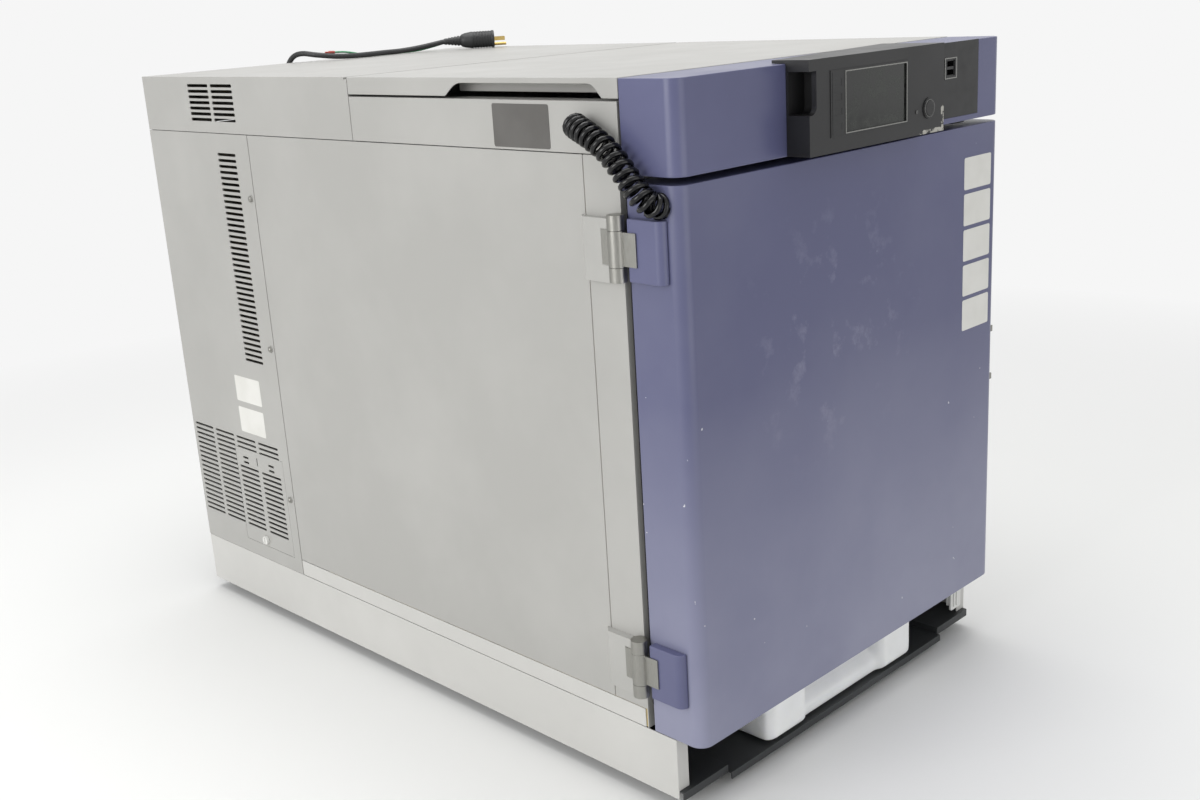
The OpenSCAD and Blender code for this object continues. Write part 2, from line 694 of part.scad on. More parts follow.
// Strike plate on the cabinet that the handle's hook rests against
module latch_keeper() placed() color("DarkGray") {
    block([cabinet_w, frame_y + 8, latch_z - 30], [cabinet_w + 4, 122, latch_z + 30]);
    block([cabinet_w + 4, 104, latch_z - 16], [cabinet_w + 12, 112, latch_z + 16]);
}

// Free cords

function unit(v) = v / norm(v);
function tangent(p, i) = unit(p[min(i + 1, len(p) - 1)] - p[max(i - 1, 0)]);

// Cross-section axes at each route point, kept square to the route
function side_axis(t) = unit(cross(t, abs(t[2]) > 0.9 ? [1, 0, 0] : [0, 0, 1]));
function ring(p, i, r, n) = let (t = tangent(p, i), u = side_axis(t), v = cross(t, u))
    [for (k = [0 : n - 1]) p[i] + r * cos(360 * k / n) * u + r * sin(360 * k / n) * v];

// Twist between neighbouring rings, as whole steps, so that the strips stay straight
function turn(p, i, n) = i == 0 ? 0 : let (a = ring(p, i - 1, 1, n), b = ring(p, i, 1, n),
    d = [for (s = [0 : n - 1]) norm((b[s] - p[i]) - (a[0] - p[i - 1]))])
    [for (s = [0 : n - 1]) if (d[s] == min(d)) s][0];
function turns(p, n) = [for (i = 0, s = 0; i < len(p); i = i + 1, s = i < len(p) ? s + turn(p, i, n) : s) s];

// Smooth route through hand-chosen points
function spline(p, i, f) = let (a = p[max(i - 1, 0)], b = p[i], c = p[i + 1], d = p[min(i + 2, len(p) - 1)])
    0.5 * (2 * b + (c - a) * f + (2 * a - 5 * b + 4 * c - d) * f * f + (3 * b - a - 3 * c + d) * f * f * f);
function smooth(p, steps) = [
    for (i = [0 : len(p) - 2], j = [0 : steps - 1]) spline(p, i, j / steps),
    p[len(p) - 1]
];

module tube(route, r, n = 10) {
    s = turns(route, n);
    rows = len(route);
    points = [
        for (i = [0 : rows - 1]) let (c = ring(route, i, r, n))
            for (k = [0 : n - 1]) c[(k + s[i]) % n]
    ];
    walls = [for (i = [0 : rows - 2], k = [0 : n - 1], half = [0, 1])
        let (a = i * n + k, b = i * n + (k + 1) % n, c = b + n, d = a + n) half == 0 ? [a, c, b] : [a, d, c]];
    first = [for (k = [0 : n - 1]) k];
    last = [for (k = [n - 1 : -1 : 0]) (rows - 1) * n + k];
    polyhedron(points = points, faces = concat([first], walls, [last]), convexity = 10);
}

// Route of the curly lead from the band to the door, with heights from the door's upper edge
curl_route = [for (p = [[-14, 132, 57], [-15, 122, 55.5], [-16, 99, 46.5], [-17, 78, 34.5], [-17, 63, 21.5],
    [-17, 49.5, 7.5], [-16, 35.5, -5], [-14, 19, -12], [-14, 9, -13]]) p + [0, 0, door_top]];
module curly_lead() placed() color("Black") {
    tube(smooth(curl_route, 3), curl_dia / 2, 12);
    rod_x([-14, 124, door_top + 55], 3.2, 14, 16);
    rod_x([-14, 20, door_top - 12], 3.2, 14, 16);
}

lower_route = [[gland_x, cabinet_d + 18, gland_z], [gland_x, cabinet_d + 32, gland_z - 1],
    [gland_x - 1, cabinet_d + 50, gland_z - 14], [gland_x - 3, cabinet_d + 58, gland_z - 40],
    [gland_x - 5, cabinet_d + 60, 70], [gland_x - 8, cabinet_d + 60, 45],
    [gland_x - 12, cabinet_d + 59, 24], [gland_x - 22, cabinet_d + 56, 11],
    [gland_x - 38, cabinet_d + 51, 5.2], [gland_x - 58, cabinet_d + 42, 4.2],
    [coil_x + 42, cabinet_d + 34, 4.2], [coil_x + 14, coil_y - coil_r + 1, 4.2]];
upper_route = [[coil_x - 14, coil_y - coil_r + 1, 37], [coil_x - 34, cabinet_d + 18, 42],
    [coil_x - 48, cabinet_d + 12, 62], [coil_x - 53, cabinet_d + 8, 100], [coil_x - 54, cabinet_d + 6, 200],
    [coil_x - 54, cabinet_d + 6, 380], [coil_x - 54, cabinet_d + 6, 560], [coil_x - 54, cabinet_d + 9, 680],
    [coil_x - 53, cabinet_d + 13, 740], [coil_x - 52, cabinet_d + 13, 769], [coil_x - 50, cabinet_d + 8, 787],
    [coil_x - 47, cabinet_d - 4, 799], [coil_x - 42, cabinet_d - 21, 803], [coil_x - 31, cabinet_d - 42, 800],
    [coil_x - 10, cabinet_d - 58, 796.5], [318, cabinet_d - 61, 794.8], [356, cabinet_d - 54, 794.4],
    [394, cabinet_d - 44, 794.4], [430, cabinet_d - 42, 794.6], [464, cabinet_d - 50, 797.5], plug_at];

module cord_gland() placed() color("DimGray") rod_y([gland_x, cabinet_d, gland_z], 10, 18, 32);

module cord_lower() placed() color("DimGray") tube(smooth(lower_route, 4), cord_r, 10);
module cord_upper() placed() color("DimGray") tube(smooth(upper_route, 5), cord_r, 10);
module cord_coil() placed() color("DimGray") translate([coil_x, coil_y, 0.2]) rotate_extrude($fn = 48)
    translate([coil_r - 1.5 * cord_r, 0]) square([2.5 * cord_r, coil_h]);

module plug_axis() translate(plug_at) rotate([0, 0, plug_turn]) rotate([0, 90, 0]) children();

module plug() placed() color("DimGray") plug_axis() {
    cylinder(r1 = 4.6, r2 = 8, h = 28, $fn = 32);
    translate([0, 0, 28]) cylinder(r1 = 9.5, r2 = 13, h = 14, $fn = 32);
    translate([0, 0, 42]) cylinder(r = 13.5, h = plug_l - 45, $fn = 32);
    translate([0, 0, plug_l - 3]) cylinder(r = 12, h = 3, $fn = 32);
}

// Two flat blades and the round earth pin
module plug_blades() placed() color("Gold") plug_axis() {
    for (s = [-6.35, 6.35]) translate([-3.1, s - 0.75, plug_l]) cube([6.2, 1.5, 17]);
    translate([8.5, 0, plug_l]) cylinder(r = 2.4, h = 19, $fn = 24);
}

// Water tank that slides out under the door

module tank_plan(d) difference() {
    square([tank_w, d]);
    polygon([[64, -1], [72, tank_bulge], [tank_w - 72, tank_bulge], [tank_w - 64, -1]]);
}

module water_tank() placed() color("White") translate([tank_left, tank_front, tank_low]) difference() {
    union() {
        linear_extrude(tank_h) difference() {
            tank_plan(tank_d);
            for (x = [0, tank_w]) translate([x, 0]) rotate(45) square(14, center = true);
        }
        rod_z([60, tank_d - 50, tank_h - 2], 17, 2.5);
    }
    // scooped grip between the bulges, deeper towards the top
    translate([72, 0, 0]) rotate([90, 0, 90]) linear_extrude(tank_w - 144)
        polygon([[tank_bulge - 1, 14], [tank_bulge + 34, tank_h - 10], [tank_bulge + 34, tank_h + 1],
            [-1, tank_h + 1], [-1, 14]]);
    // rounded lower front edge
    translate([-1, 0, 0]) rotate([90, 0, 90]) linear_extrude(tank_w + 2)
        polygon([[-1, -1], [10, -1], [3, 3], [-1, 10]]);
}

module tank_cap() placed() color("White")
    rod_z([tank_left + 60, tank_front + tank_d - 50, tank_low + tank_h + 0.7], 19, 1.2);

// Rear machine room

module rear_side(cover) side_sheet(0, sheet) difference() {
    translate([rear_seam, rail_top]) square([cabinet_d - rear_seam, seam_z - seam - rail_top]);
    slot_column(792, 838, seam_z - 28.5, 37, slot_pitch, slot_h);
    for (c = [0 : 3])
        slot_column(grid_first + c * grid_col_pitch, grid_first + c * grid_col_pitch + grid_col_w,
            grid_top, grid_rows, grid_pitch, grid_slot_h);
    if (cover) translate([cover_front, cover_low]) square([cover_rear - cover_front, cover_high - cover_low]);
}

// Screw heads along the front seam of the louvre panel
module seam_screws() for (z = [203, 424, seam_z - 85]) rod_x([-1.6, rear_seam + 8, z], 4.5, 1.6, 32);

module rear_panel_left() placed() color("Silver") {
    rear_side(true);
    seam_screws();
}

module rear_panel_right() placed() color("Silver") translate([cabinet_w, 0, 0]) mirror([1, 0, 0]) {
    rear_side(false);
    seam_screws();
}

module back_panel() placed() color("Silver") difference() {
    block([sheet, cabinet_d - sheet, rail_top], [cabinet_w - sheet, cabinet_d, seam_z - seam]);
    for (c = [0 : 3], i = [0 : 15]) block([345 + c * 50, cabinet_d - 5, 60 + rail_top + i * 11],
        [385 + c * 50, cabinet_d + 1, 64.5 + rail_top + i * 11]);
}

// Louvred cover over the intake filter: it swings out about its upper edge
module filter_cover() placed() color("Silver") side_sheet(0, sheet) difference() {
    translate([cover_front + cover_gap, cover_low + cover_gap])
        square([cover_rear - cover_front - 2 * cover_gap, cover_high - cover_low - 2 * cover_gap]);
    for (c = [0 : 1])
        slot_column(grid_first + c * grid_col_pitch + 2, grid_first + c * grid_col_pitch + grid_col_w,
            grid_top - 6 * grid_pitch, grid_rows - 6, grid_pitch, grid_slot_h);
    for (y = [801, 869]) slot_column(y, y + 15, 244, 2, grid_pitch, grid_slot_h);
    translate([844.5, 237]) square([2.5, 12]);
    translate([845.5, 122]) circle(3 + run_gap, $fn = 32);
}

module filter_knob() placed() color("WhiteSmoke") {
    rod_x([-5, 845.5, 122], 6, 4.7, 32);
    rod_x([-1, 845.5, 122], 3, 6, 32);
    block([-7, 844.5, 117], [-5, 846.5, 127]);
}

module compressor() placed() color("Black") translate([180, 850, 0]) {
    // welded shell, a profile turned about its axis
    rotate_extrude($fn = 64)
        polygon([[0, 27], [66, 27], [72, 36], [72, 168], [60, 188], [34, 199], [0, 202]]);
    for (a = [45, 135, 225, 315]) rotate([0, 0, a]) {
        block([50, -12, 22], [98, 12, 31]);
        rod_z([86, 0, floor_top], 9, 5, 24);
    }
    block([-84, -12, 90], [-60, 12, 130]);
}

module condenser() placed() color("DimGray") {
    for (i = [0 : 25]) block([330 + i * 8, 940, 22], [331 + i * 8, 980, 300]);
    for (z = [50 : 40 : 280], y = [950, 970]) rod_x([326, y, z], 5, 212, 24);
    for (x = [326, 536]) block([x, 936, 19], [x + 2, 984, 304]);
}

module condenser_fan() placed() color("DimGray") {
    difference() {
        rod_y([432, 900, 165], 26, 18);
        rod_y([432, 899, 165], shaft_r + run_gap, 13);
    }
    for (a = [0 : 72 : 288]) translate([432, 909, 165]) rotate([0, a, 0])
        translate([24, 0, 0]) rotate([28, 0, 0]) translate([0, -1, -20]) cube([66, 2, 40]);
}

// Copper lines between compressor, condenser and the insulated body
module refrigerant_pipes() placed() color("Peru") {
    rod_z([180, 850, 202], 5, 113, 24);
    rod_y([180, foam_back, 321], 5, 844 - foam_back, 24);
    rod_x([252, 850, 120], 5, 59, 24);
    rod_y([317, 856, 120], 5, 88, 24);
    rod_x([323, 950, 120], 5, 3, 24);
    // soldered corner fittings, which the pipes enter without meeting
    for (corner = [[180, 850, 321], [317, 850, 120], [317, 950, 120]])
        translate(corner) sphere(r = 8.5, $fn = 32);
    // the condenser fan's motor, a square stack of plates, on its stand
    block([426, 830, floor_top], [438, 842, 150]);
    block([411, 820, 144], [453, 895, 186]);
    rod_y([432, 885, 165], shaft_r, 26);
}

feet();
base_frame();
side_rails();
side_panel_left();
side_panel_right();
front_frame();
insulation();
chamber_liner();
cable_port();
air_baffle();
circulation_fan();
fan_motor();
evaporator();
heater();
humidifier_pan();
sensors();
shelf_upper();
shelf_lower();
shelf_rails();
electrical_box();
top_band();
top_lid();
rear_cover();
hood();
flush_panel();
usb_port();
control_box();
screen_frame();
touch_screen();
power_ring();
power_key();
door_skin();
door_core();
door_liner();
door_gasket();
hinge_blocks();
hinge_covers();
hinge_door_leaves();
hinge_body_leaves();
latch_base();
latch_handle();
latch_keeper();
curly_lead();
water_tank();
tank_cap();
rear_panel_left();
rear_panel_right();
back_panel();
filter_cover();
filter_knob();
compressor();
condenser();
condenser_fan();
refrigerant_pipes();
cord_gland();
cord_lower();
cord_coil();
cord_upper();
plug();
plug_blades();
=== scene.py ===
# %% [markdown]
# # Dressing a bench-top environmental test chamber
#
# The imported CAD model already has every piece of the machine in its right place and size. This lesson
# gives those pieces their finishes, softens the edges of the folded sheet metal, and makes the things
# that CAD leaves plain: the mains cord, the coiled door lead, the blow-moulded tank and small details.
# Everything is in metres, with Z up, and the door faces -Y.

# %% Load the frame
import json
import math

import bmesh
import bpy
from mathutils import Matrix, Vector


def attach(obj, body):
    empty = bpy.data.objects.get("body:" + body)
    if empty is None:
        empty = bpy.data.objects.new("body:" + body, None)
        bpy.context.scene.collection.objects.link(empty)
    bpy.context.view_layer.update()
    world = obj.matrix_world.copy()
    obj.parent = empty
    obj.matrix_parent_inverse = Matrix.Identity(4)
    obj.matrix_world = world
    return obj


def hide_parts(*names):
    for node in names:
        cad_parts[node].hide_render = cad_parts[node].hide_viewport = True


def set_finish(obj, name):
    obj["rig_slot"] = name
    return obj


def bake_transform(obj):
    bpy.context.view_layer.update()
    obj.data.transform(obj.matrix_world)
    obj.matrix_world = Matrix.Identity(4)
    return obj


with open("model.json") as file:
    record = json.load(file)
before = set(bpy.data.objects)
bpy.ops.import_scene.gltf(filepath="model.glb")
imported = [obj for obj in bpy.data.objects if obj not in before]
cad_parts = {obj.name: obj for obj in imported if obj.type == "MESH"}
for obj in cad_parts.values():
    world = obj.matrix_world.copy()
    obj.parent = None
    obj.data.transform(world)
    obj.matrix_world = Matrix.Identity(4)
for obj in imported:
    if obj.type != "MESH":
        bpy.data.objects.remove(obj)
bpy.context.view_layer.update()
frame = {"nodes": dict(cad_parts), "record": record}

# %% [markdown]
# A drawing of this cabinet is easiest to read from its front left corner on the floor, in
# millimetres, the way a fitter would measure it. The places could be written in the frame's metres
# straight away, but one function that turns the drawing's numbers into the frame's lets each number
# below be checked with a tape measure.

# %% Places in millimetres from the cabinet's front left corner
CABINET_W = 590
FRONT_TO_ORIGIN = 503
MM = 0.001


def at(x, y, z):
    """A place measured from the cabinet's front left corner on the floor, in the shared frame."""
    return Vector(((x - CABINET_W / 2) * MM, (y - FRONT_TO_ORIGIN) * MM, z * MM))


print("front left corner of the floor plan", at(0, 0, 0))

# %% [markdown]
# The camera stands to the front left of the cabinet, a little above its top, and looks slightly down.
# It could be aimed by a constraint at an empty, but its three axes are known: they are unit vectors,
# worked out from the picture's straight edges, and the matrix holds them as columns: right, up, back.
# A new object shows only once it is linked to the scene, so a small function does both.

# %% Camera
CAMERA_PLACE = Vector((-1.2567, -1.3699, 0.8726))
CAMERA_RIGHT = Vector((0.70399, -0.70777, -0.0588))
CAMERA_UP = Vector((0.24301, 0.16226, 0.95636))
CAMERA_BACK = Vector((-0.66734, -0.68756, 0.28622))
LENS_MM = 41.3
SENSOR_MM = 36


def put(name, data):
    """A new object in the scene that shows a mesh, a curve, a lamp or a camera."""
    made = bpy.data.objects.new(name, data)
    bpy.context.scene.collection.objects.link(made)
    return made


camera_data = bpy.data.cameras.new("camera")
camera_data.lens = LENS_MM
camera_data.sensor_width = SENSOR_MM
camera = put("camera", camera_data)
camera_axes = Matrix((CAMERA_RIGHT, CAMERA_UP, CAMERA_BACK)).transposed()
camera.matrix_world = Matrix.Translation(CAMERA_PLACE) @ camera_axes.to_4x4()
bpy.context.scene.camera = camera
print("camera at", CAMERA_PLACE, "lens", LENS_MM, "mm")

# %% [markdown]
# ## Cords
#
# A cord bends in one flowing line. Bezier handles could be set by hand, but a Catmull-Rom spline needs
# only the places that the cord passes: each piece of curve runs through its two middle points and
# borrows its direction from their neighbours. The finished line becomes a curve with a round bevel.

# %% Smooth routes and round wires
def spline_point(a, b, c, d, f):
    """One point of the Catmull-Rom curve between b and c."""
    square = 2 * a - 5 * b + 4 * c - d
    cube = 3 * b - a - 3 * c + d
    return 0.5 * (2 * b + (c - a) * f + square * f**2 + cube * f**3)


def smooth(route, steps):
    """A smooth line through the route's points, with steps short stretches between neighbours."""
    ends = [route[0]] + route + [route[-1]]
    spans = range(len(route) - 1)
    line = [spline_point(*ends[i:i + 4], j / steps) for i in spans for j in range(steps)]
    return line + [route[-1]]


def length_of(line):
    return sum((b - a).length for a, b in zip(line, line[1:]))


def wire(name, line, radius, sides=4):
    """A round wire along a line. The bevel is one metre deep, so each point's radius is a real one."""
    data = bpy.data.curves.new(name, "CURVE")
    data.dimensions = "3D"
    data.bevel_depth = 1
    data.bevel_resolution = sides
    data.use_fill_caps = True
    strand = data.splines.new("POLY")
    strand.points.add(len(line) - 1)
    for spot, place in zip(strand.points, line):
        spot.co = (*place, 1)
        spot.radius = radius
    strand.use_smooth = True
    return put(name, data)


quarter_bend = smooth([at(0, 0, 0), at(0, 30, 0), at(0, 50, 20), at(0, 50, 50)], 5)
print("a smooth bend of four points measures", round(length_of(quarter_bend), 3), "m")

# %% [markdown]
# The mains cord leaves a gland low on the back. The length that is not needed is wound into a coil on
# the floor, and the rest climbs the back, arches over the top edge and ends in a plug on the rear top.
# A rope simulation could drop the coil, but a shallow helix gives the same lay every time: its turns
# lie one on another a cord's diameter apart, and its ends meet the listed routes at the front of the
# ring, where the cord arrives and leaves to the left.

# %% Mains cord
CORD_D = 8
CORD_GAP = 0.12
CORD_REST = 4.2
BACK = 1020
GLAND = (420, 150)
COIL = (300, BACK + 68)
COIL_R = 46
COIL_TURNS = 4
COIL_FROM = math.radians(-72.7)
COIL_SWEEP = math.radians(360 * COIL_TURNS + 34.6)
COIL_STEPS = 16 * COIL_TURNS + 2

lower_route = [
    at(GLAND[0] + dx, BACK + dy, z) for dx, dy, z in
    [(0, 18, 150), (0, 32, 149), (-1, 50, 136), (-3, 58, 110), (-5, 60, 70), (-8, 60, 45), (-12, 59, 24),
     (-22, 56, 11), (-38, 51, 5.2), (-58, 42, 4.2), (-78, 34, 4.2)]]
upper_route = [
    at(COIL[0] + dx, BACK + dy, z) for dx, dy, z in
    [(-34, 18, 42), (-48, 12, 62), (-53, 8, 100), (-54, 6, 200), (-54, 6, 380), (-54, 6, 560),
     (-54, 9, 680), (-53, 13, 740), (-52, 13, 769), (-50, 8, 787), (-47, -4, 799), (-42, -21, 803),
     (-31, -42, 800), (-10, -58, 796.5), (18, -61, 794.8), (56, -54, 794.4), (94, -44, 794.4),
     (130, -42, 794.6), (164, -50, 797.5), (198, -70, 803.8)]]
coil_line = []
for i in range(COIL_STEPS + 1):
    turned = COIL_SWEEP * i / COIL_STEPS
    angle = COIL_FROM - turned
    rise = CORD_REST + (CORD_D + CORD_GAP) * turned / math.tau
    coil_line.append(at(COIL[0] + COIL_R * math.cos(angle), COIL[1] + COIL_R * math.sin(angle), rise))

arriving = smooth(lower_route + [coil_line[0]], 5)
leaving = smooth([coil_line[-1]] + upper_route, 5)
cord_line = arriving[:-1] + coil_line + leaving[1:]
mains_cord = wire("mains_cord", cord_line, CORD_D / 2 * MM)
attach(mains_cord, "cabinet")
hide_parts("cord_lower", "cord_coil", "cord_upper")
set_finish(mains_cord, "cord_rubber")
print("mains cord", round(length_of(cord_line), 3), "m")

# %% [markdown]
# Plug bodies, gland nuts and screw heads are round about one axis. Blender's Screw modifier could spin
# a drawn line, but a function that takes the profile as numbers reads like a turner's drawing: it
# lists distance along the axis and radius, in millimetres, and joins the rings.

# %% Turned pieces
SHARP_FOLD = math.radians(35)


def from_bmesh(name, maker):
    """Turns a bmesh into an object, and frees it."""
    mesh = bpy.data.meshes.new(name)
    maker.to_mesh(mesh)
    maker.free()
    return put(name, mesh)


def lathe(name, profile, place, axis, sides=40):
    """Spins a profile of (distance along the axis, radius) and stands it at place along axis."""
    maker = bmesh.new()
    angles = [math.tau * k / sides for k in range(sides)]
    rings = []
    for along, radius in profile:
        circle = [(radius * MM * math.cos(angle), radius * MM * math.sin(angle)) for angle in angles]
        rings.append([maker.verts.new((x, y, along * MM)) for x, y in circle])
    for lower, upper in zip(rings, rings[1:]):
        for k in range(sides):
            j = (k + 1) % sides
            maker.faces.new((lower[k], lower[j], upper[j], upper[k]))
    maker.faces.new(rings[0][::-1])
    maker.faces.new(rings[-1])
    piece = from_bmesh(name, maker)
    piece.data.polygons.foreach_set("use_smooth", [True] * len(piece.data.polygons))
    piece.data.set_sharp_from_angle(angle=SHARP_FOLD)
    turn = Vector(axis).to_track_quat("Z", "Y").to_matrix().to_4x4()
    piece.matrix_world = Matrix.Translation(place) @ turn
    return piece


print("turned pieces are rounded over folds below", round(math.degrees(SHARP_FOLD)), "degrees")

# %% [markdown]
# The plug is moulded onto the cord. Its neck has five soft ribs that let it bend, and its grip has
# seven shallow rings for wet fingers. Both could be bump only, but they stand out at its edge, so they
# are steps in the turned profile.

# %% Plug
PLUG_PLACE = (498, 950, 803.8)
PLUG_TURN = math.radians(-38)
NECK_RIBS = 5
GRIP_RINGS = 7
plug_axis = Vector((math.cos(PLUG_TURN), math.sin(PLUG_TURN), 0))
plug_profile = [(0, 4.3)]
for i in range(NECK_RIBS):
    rib = 2 + 5 * i
    plug_profile += [(rib, 5 + 0.7 * i), (rib + 3, 5.2 + 0.7 * i), (rib + 3.4, 4.6 + 0.6 * i),
                     (rib + 4.6, 4.8 + 0.6 * i)]
plug_profile += [(29, 9.6), (34, 11.4), (42, 12.6), (44, 13)]
for i in range(GRIP_RINGS):
    ring = 45 + 4.6 * i
    plug_profile += [(ring, 13.1), (ring + 2.4, 13.1), (ring + 2.8, 12.5), (ring + 4, 12.5)]
plug_profile += [(77.6, 13.3), (78, 13.5), (81, 13.5), (81.5, 13.2), (81.9, 12.2)]
plug_body = lathe("plug_body", plug_profile, at(*PLUG_PLACE), plug_axis)
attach(plug_body, "cabinet")
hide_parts("plug")
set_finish(plug_body, "cord_rubber")
print("plug", plug_profile[-1][0], "mm long")

# %% [markdown]
# Where the cord enters the gland, a ribbed sleeve keeps it from kinking. It tapers from the nut down to
# the cord's own diameter. Nut and sleeve could be one piece, but the nut is hard nylon and the sleeve
# soft rubber, so each is turned by itself and gets its own finish.

# %% Gland and strain relief
nut_profile = [(0, 9.9), (3, 9.9), (3.6, 8.6), (4.4, 8.6), (5, 9.9), (16.6, 9.9), (17.9, 8.2)]
gland_nut = lathe("gland_nut", nut_profile, at(GLAND[0], BACK, GLAND[1]), (0, 1, 0))
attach(gland_nut, "cabinet")
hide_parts("cord_gland")
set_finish(gland_nut, "grey_plastic")
sleeve_profile = [(0, 7), (5, 6.8), (6, 6.1), (8, 6.4), (11, 6.2), (12, 5.5), (14, 5.8), (17, 5.6),
                  (18, 5), (20, 5.2), (23, 4.9), (24, 4.3)]
sleeve = lathe("strain_relief", sleeve_profile, at(GLAND[0], BACK + 17.5, GLAND[1]), (0, 1, -0.06))
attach(sleeve, "cabinet")
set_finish(sleeve, "cord_rubber")
print("strain relief", sleeve_profile[-1][0], "mm long")

# %% [markdown]
# A separate green earth lead leaves the plug beside the cord. It lies behind the cord, and its stiff end
# lifts a little and carries a red crimp sleeve. It could be painted on as a stripe, but it casts its own
# thin shadow, so it is a wire of its own on a smooth route, with a small turned sleeve.

# %% Earth lead
LEAD_D = 3
earth_route = [
    at(*p) for p in
    [(497, 953, 801), (486, 966, 797), (464, 980, 792.5), (430, 988, 791.7), (394, 986, 791.7),
     (362, 978, 793), (338, 972, 797.5), (316, 969, 801), (296, 968, 802)]]
earth_line = smooth(earth_route, 5)
earth_lead = wire("earth_lead", earth_line, LEAD_D / 2 * MM)
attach(earth_lead, "cabinet")
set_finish(earth_lead, "cord_rubber")
crimp_profile = [(0, 1.8), (1, 2.3), (10, 2.3), (11, 1.4), (17, 1.2)]
crimp = lathe("earth_crimp", crimp_profile, earth_line[-1], (-1, 0, 0.05), 20)
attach(crimp, "cabinet")
print("earth lead", round(length_of(earth_line), 3), "m")

# %% [markdown]
# The lead between cabinet and door is a curly cord, wound tight and set by heat. A straight helix bent
# by a Curve modifier would squash its wire in the bends. Here each point of the helix is set square to
# the line that it follows. The square frame is carried from step to step and only straightened a
# little each time, which keeps the turns from flipping over where the line bends.

# %% A helix round a line
START_TURN = -0.25
TURN_STEPS = 16


def point_along(line, distance):
    """The place and direction at a distance along a line."""
    for a, b in zip(line, line[1:]):
        step = (b - a).length
        if distance <= step:
            return a + (b - a) * (distance / step), (b - a).normalized()
        distance -= step
    return line[-1], (line[-1] - line[-2]).normalized()


def helix(line, turns, radius, stretch):
    """Points of a helix round a line. Stretch pulls its middle turns apart, and its end turns close."""
    total = length_of(line)
    steps = round(turns * TURN_STEPS)
    points = []
    side = Vector((0, 0, 1))
    for i in range(steps + 1):
        share = i / steps
        along = share - stretch * math.sin(math.tau * share)
        place, forward = point_along(line, along * total)
        side = (side - forward * side.dot(forward)).normalized()
        other = forward.cross(side)
        angle = math.tau * (turns * share + START_TURN)
        points.append(place + radius * (math.cos(angle) * other + math.sin(angle) * side))
    return points


print("a helix turn has", TURN_STEPS, "points")

# %% [markdown]
# The door lead runs from the cabinet's top band to the door's left side, with its turns close together
# at both ends and pulled apart in the middle. The wire comes straight out of the cabinet where the
# helix happens to run square to it, so it has no kink, and at the door the whole coil turns in and its
# last turn sinks into the side. The curve is turned into a mesh, because only a mesh can be blended
# between two moving bodies; here it is not attached to either body.

# %% Coiled door lead
CURL_R = 10.4
CURL_WIRE = 6
CURL_TURNS = 17.75
CURL_STRETCH = 0.045
curl_route = [
    at(*p) for p in
    [(-12.5, 123, 745.5), (-15, 116, 743.2), (-16.5, 107, 740), (-17, 97, 735.5), (-17, 78, 724.5),
     (-17, 63, 711.5), (-17, 50, 697.5), (-16.8, 40, 686.5), (-15, 32, 678), (-10, 26.5, 672.5),
     (-3, 24.5, 670.5), (5.5, 24, 670)]]

curl_core = smooth(curl_route, 6)
curl_points = helix(curl_core, CURL_TURNS, CURL_R * MM, CURL_STRETCH)
curl_start = curl_points[0]
curl_wall = Vector((at(0, 0, 0).x, curl_start.y, curl_start.z))
lead_in = [curl_wall.lerp(curl_start, share) for share in (0, 0.35, 0.7)]
curl_line = lead_in + curl_points
curl_curve = wire("curl_curve", curl_line, CURL_WIRE / 2 * MM, 3)
bpy.context.view_layer.update()
curl_shape = curl_curve.evaluated_get(bpy.context.evaluated_depsgraph_get())
door_lead = put("door_lead", bpy.data.meshes.new_from_object(curl_shape))
bpy.data.objects.remove(curl_curve)
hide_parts("curly_lead")
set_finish(door_lead, "glossy_cord")
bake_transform(door_lead)
print("door lead", round(length_of(curl_line), 3), "m of wire in", CURL_TURNS, "turns")

# %% [markdown]
# ## Finishes
#
# Every colour is written as an sRGB hex value, the way a paint card gives it. Shaders work in linear
# light, so one function converts it. A second function adds any node: each of its settings is a
# property, a socket's value, or another node's output, which it links. Patterns are measured in
# millimetres, and a third function says how many lumps of that size fit in a metre.

# %% Colour and nodes
NOISE = "ShaderNodeTexNoise"
RANGE = "ShaderNodeMapRange"
MIX = "ShaderNodeMix"
MATH = "ShaderNodeMath"
VECTOR = "ShaderNodeVectorMath"
finishes = {}


def linear(hex_colour):
    """An sRGB hex colour as linear red, green, blue and alpha."""
    values = [int(hex_colour[i:i + 2], 16) / 255 for i in (1, 3, 5)]
    return [v / 12.92 if v <= 0.04045 else ((v + 0.055) / 1.055)**2.4 for v in values] + [1.0]


def lumps(size_mm):
    return 1 / MM / size_mm


def add(tree, kind, settings, output=0):
    """Adds a node with its settings and links, and gives back one of its outputs, if it has any."""
    made = tree.nodes.new(kind)
    for key, value in settings.items():
        if isinstance(value, bpy.types.NodeSocket):
            tree.links.new(value, made.inputs[key])
        elif isinstance(key, str) and hasattr(made, key):
            setattr(made, key, value)
        else:
            made.inputs[key].default_value = value
    return made.outputs[output] if len(made.outputs) else None


def new_finish(name):
    """A new finish, kept under its name, with its shader and the object's own coordinates in metres."""
    finish = bpy.data.materials.new(name)
    finishes[name] = finish
    finish.use_nodes = True
    tree = finish.node_tree
    tree.nodes.clear()
    surface = add(tree, "ShaderNodeBsdfPrincipled", {})
    add(tree, "ShaderNodeOutputMaterial", {"Surface": surface})
    place = add(tree, "ShaderNodeTexCoord", {}, "Object")
    return finish, tree, surface.node, place


def settle(tree, shader, colour, roughness, height, depth_mm):
    """Gives the shader its colour, its roughness and a relief of depth_mm."""
    relief = add(tree, "ShaderNodeBump", {"Strength": 1, "Distance": depth_mm * MM, "Height": height})
    for socket, source in (("Base Color", colour), ("Roughness", roughness), ("Normal", relief)):
        tree.links.new(source, shader.inputs[socket])


print("mid grey #808080 is", round(linear("#808080")[0], 3), "in linear light")

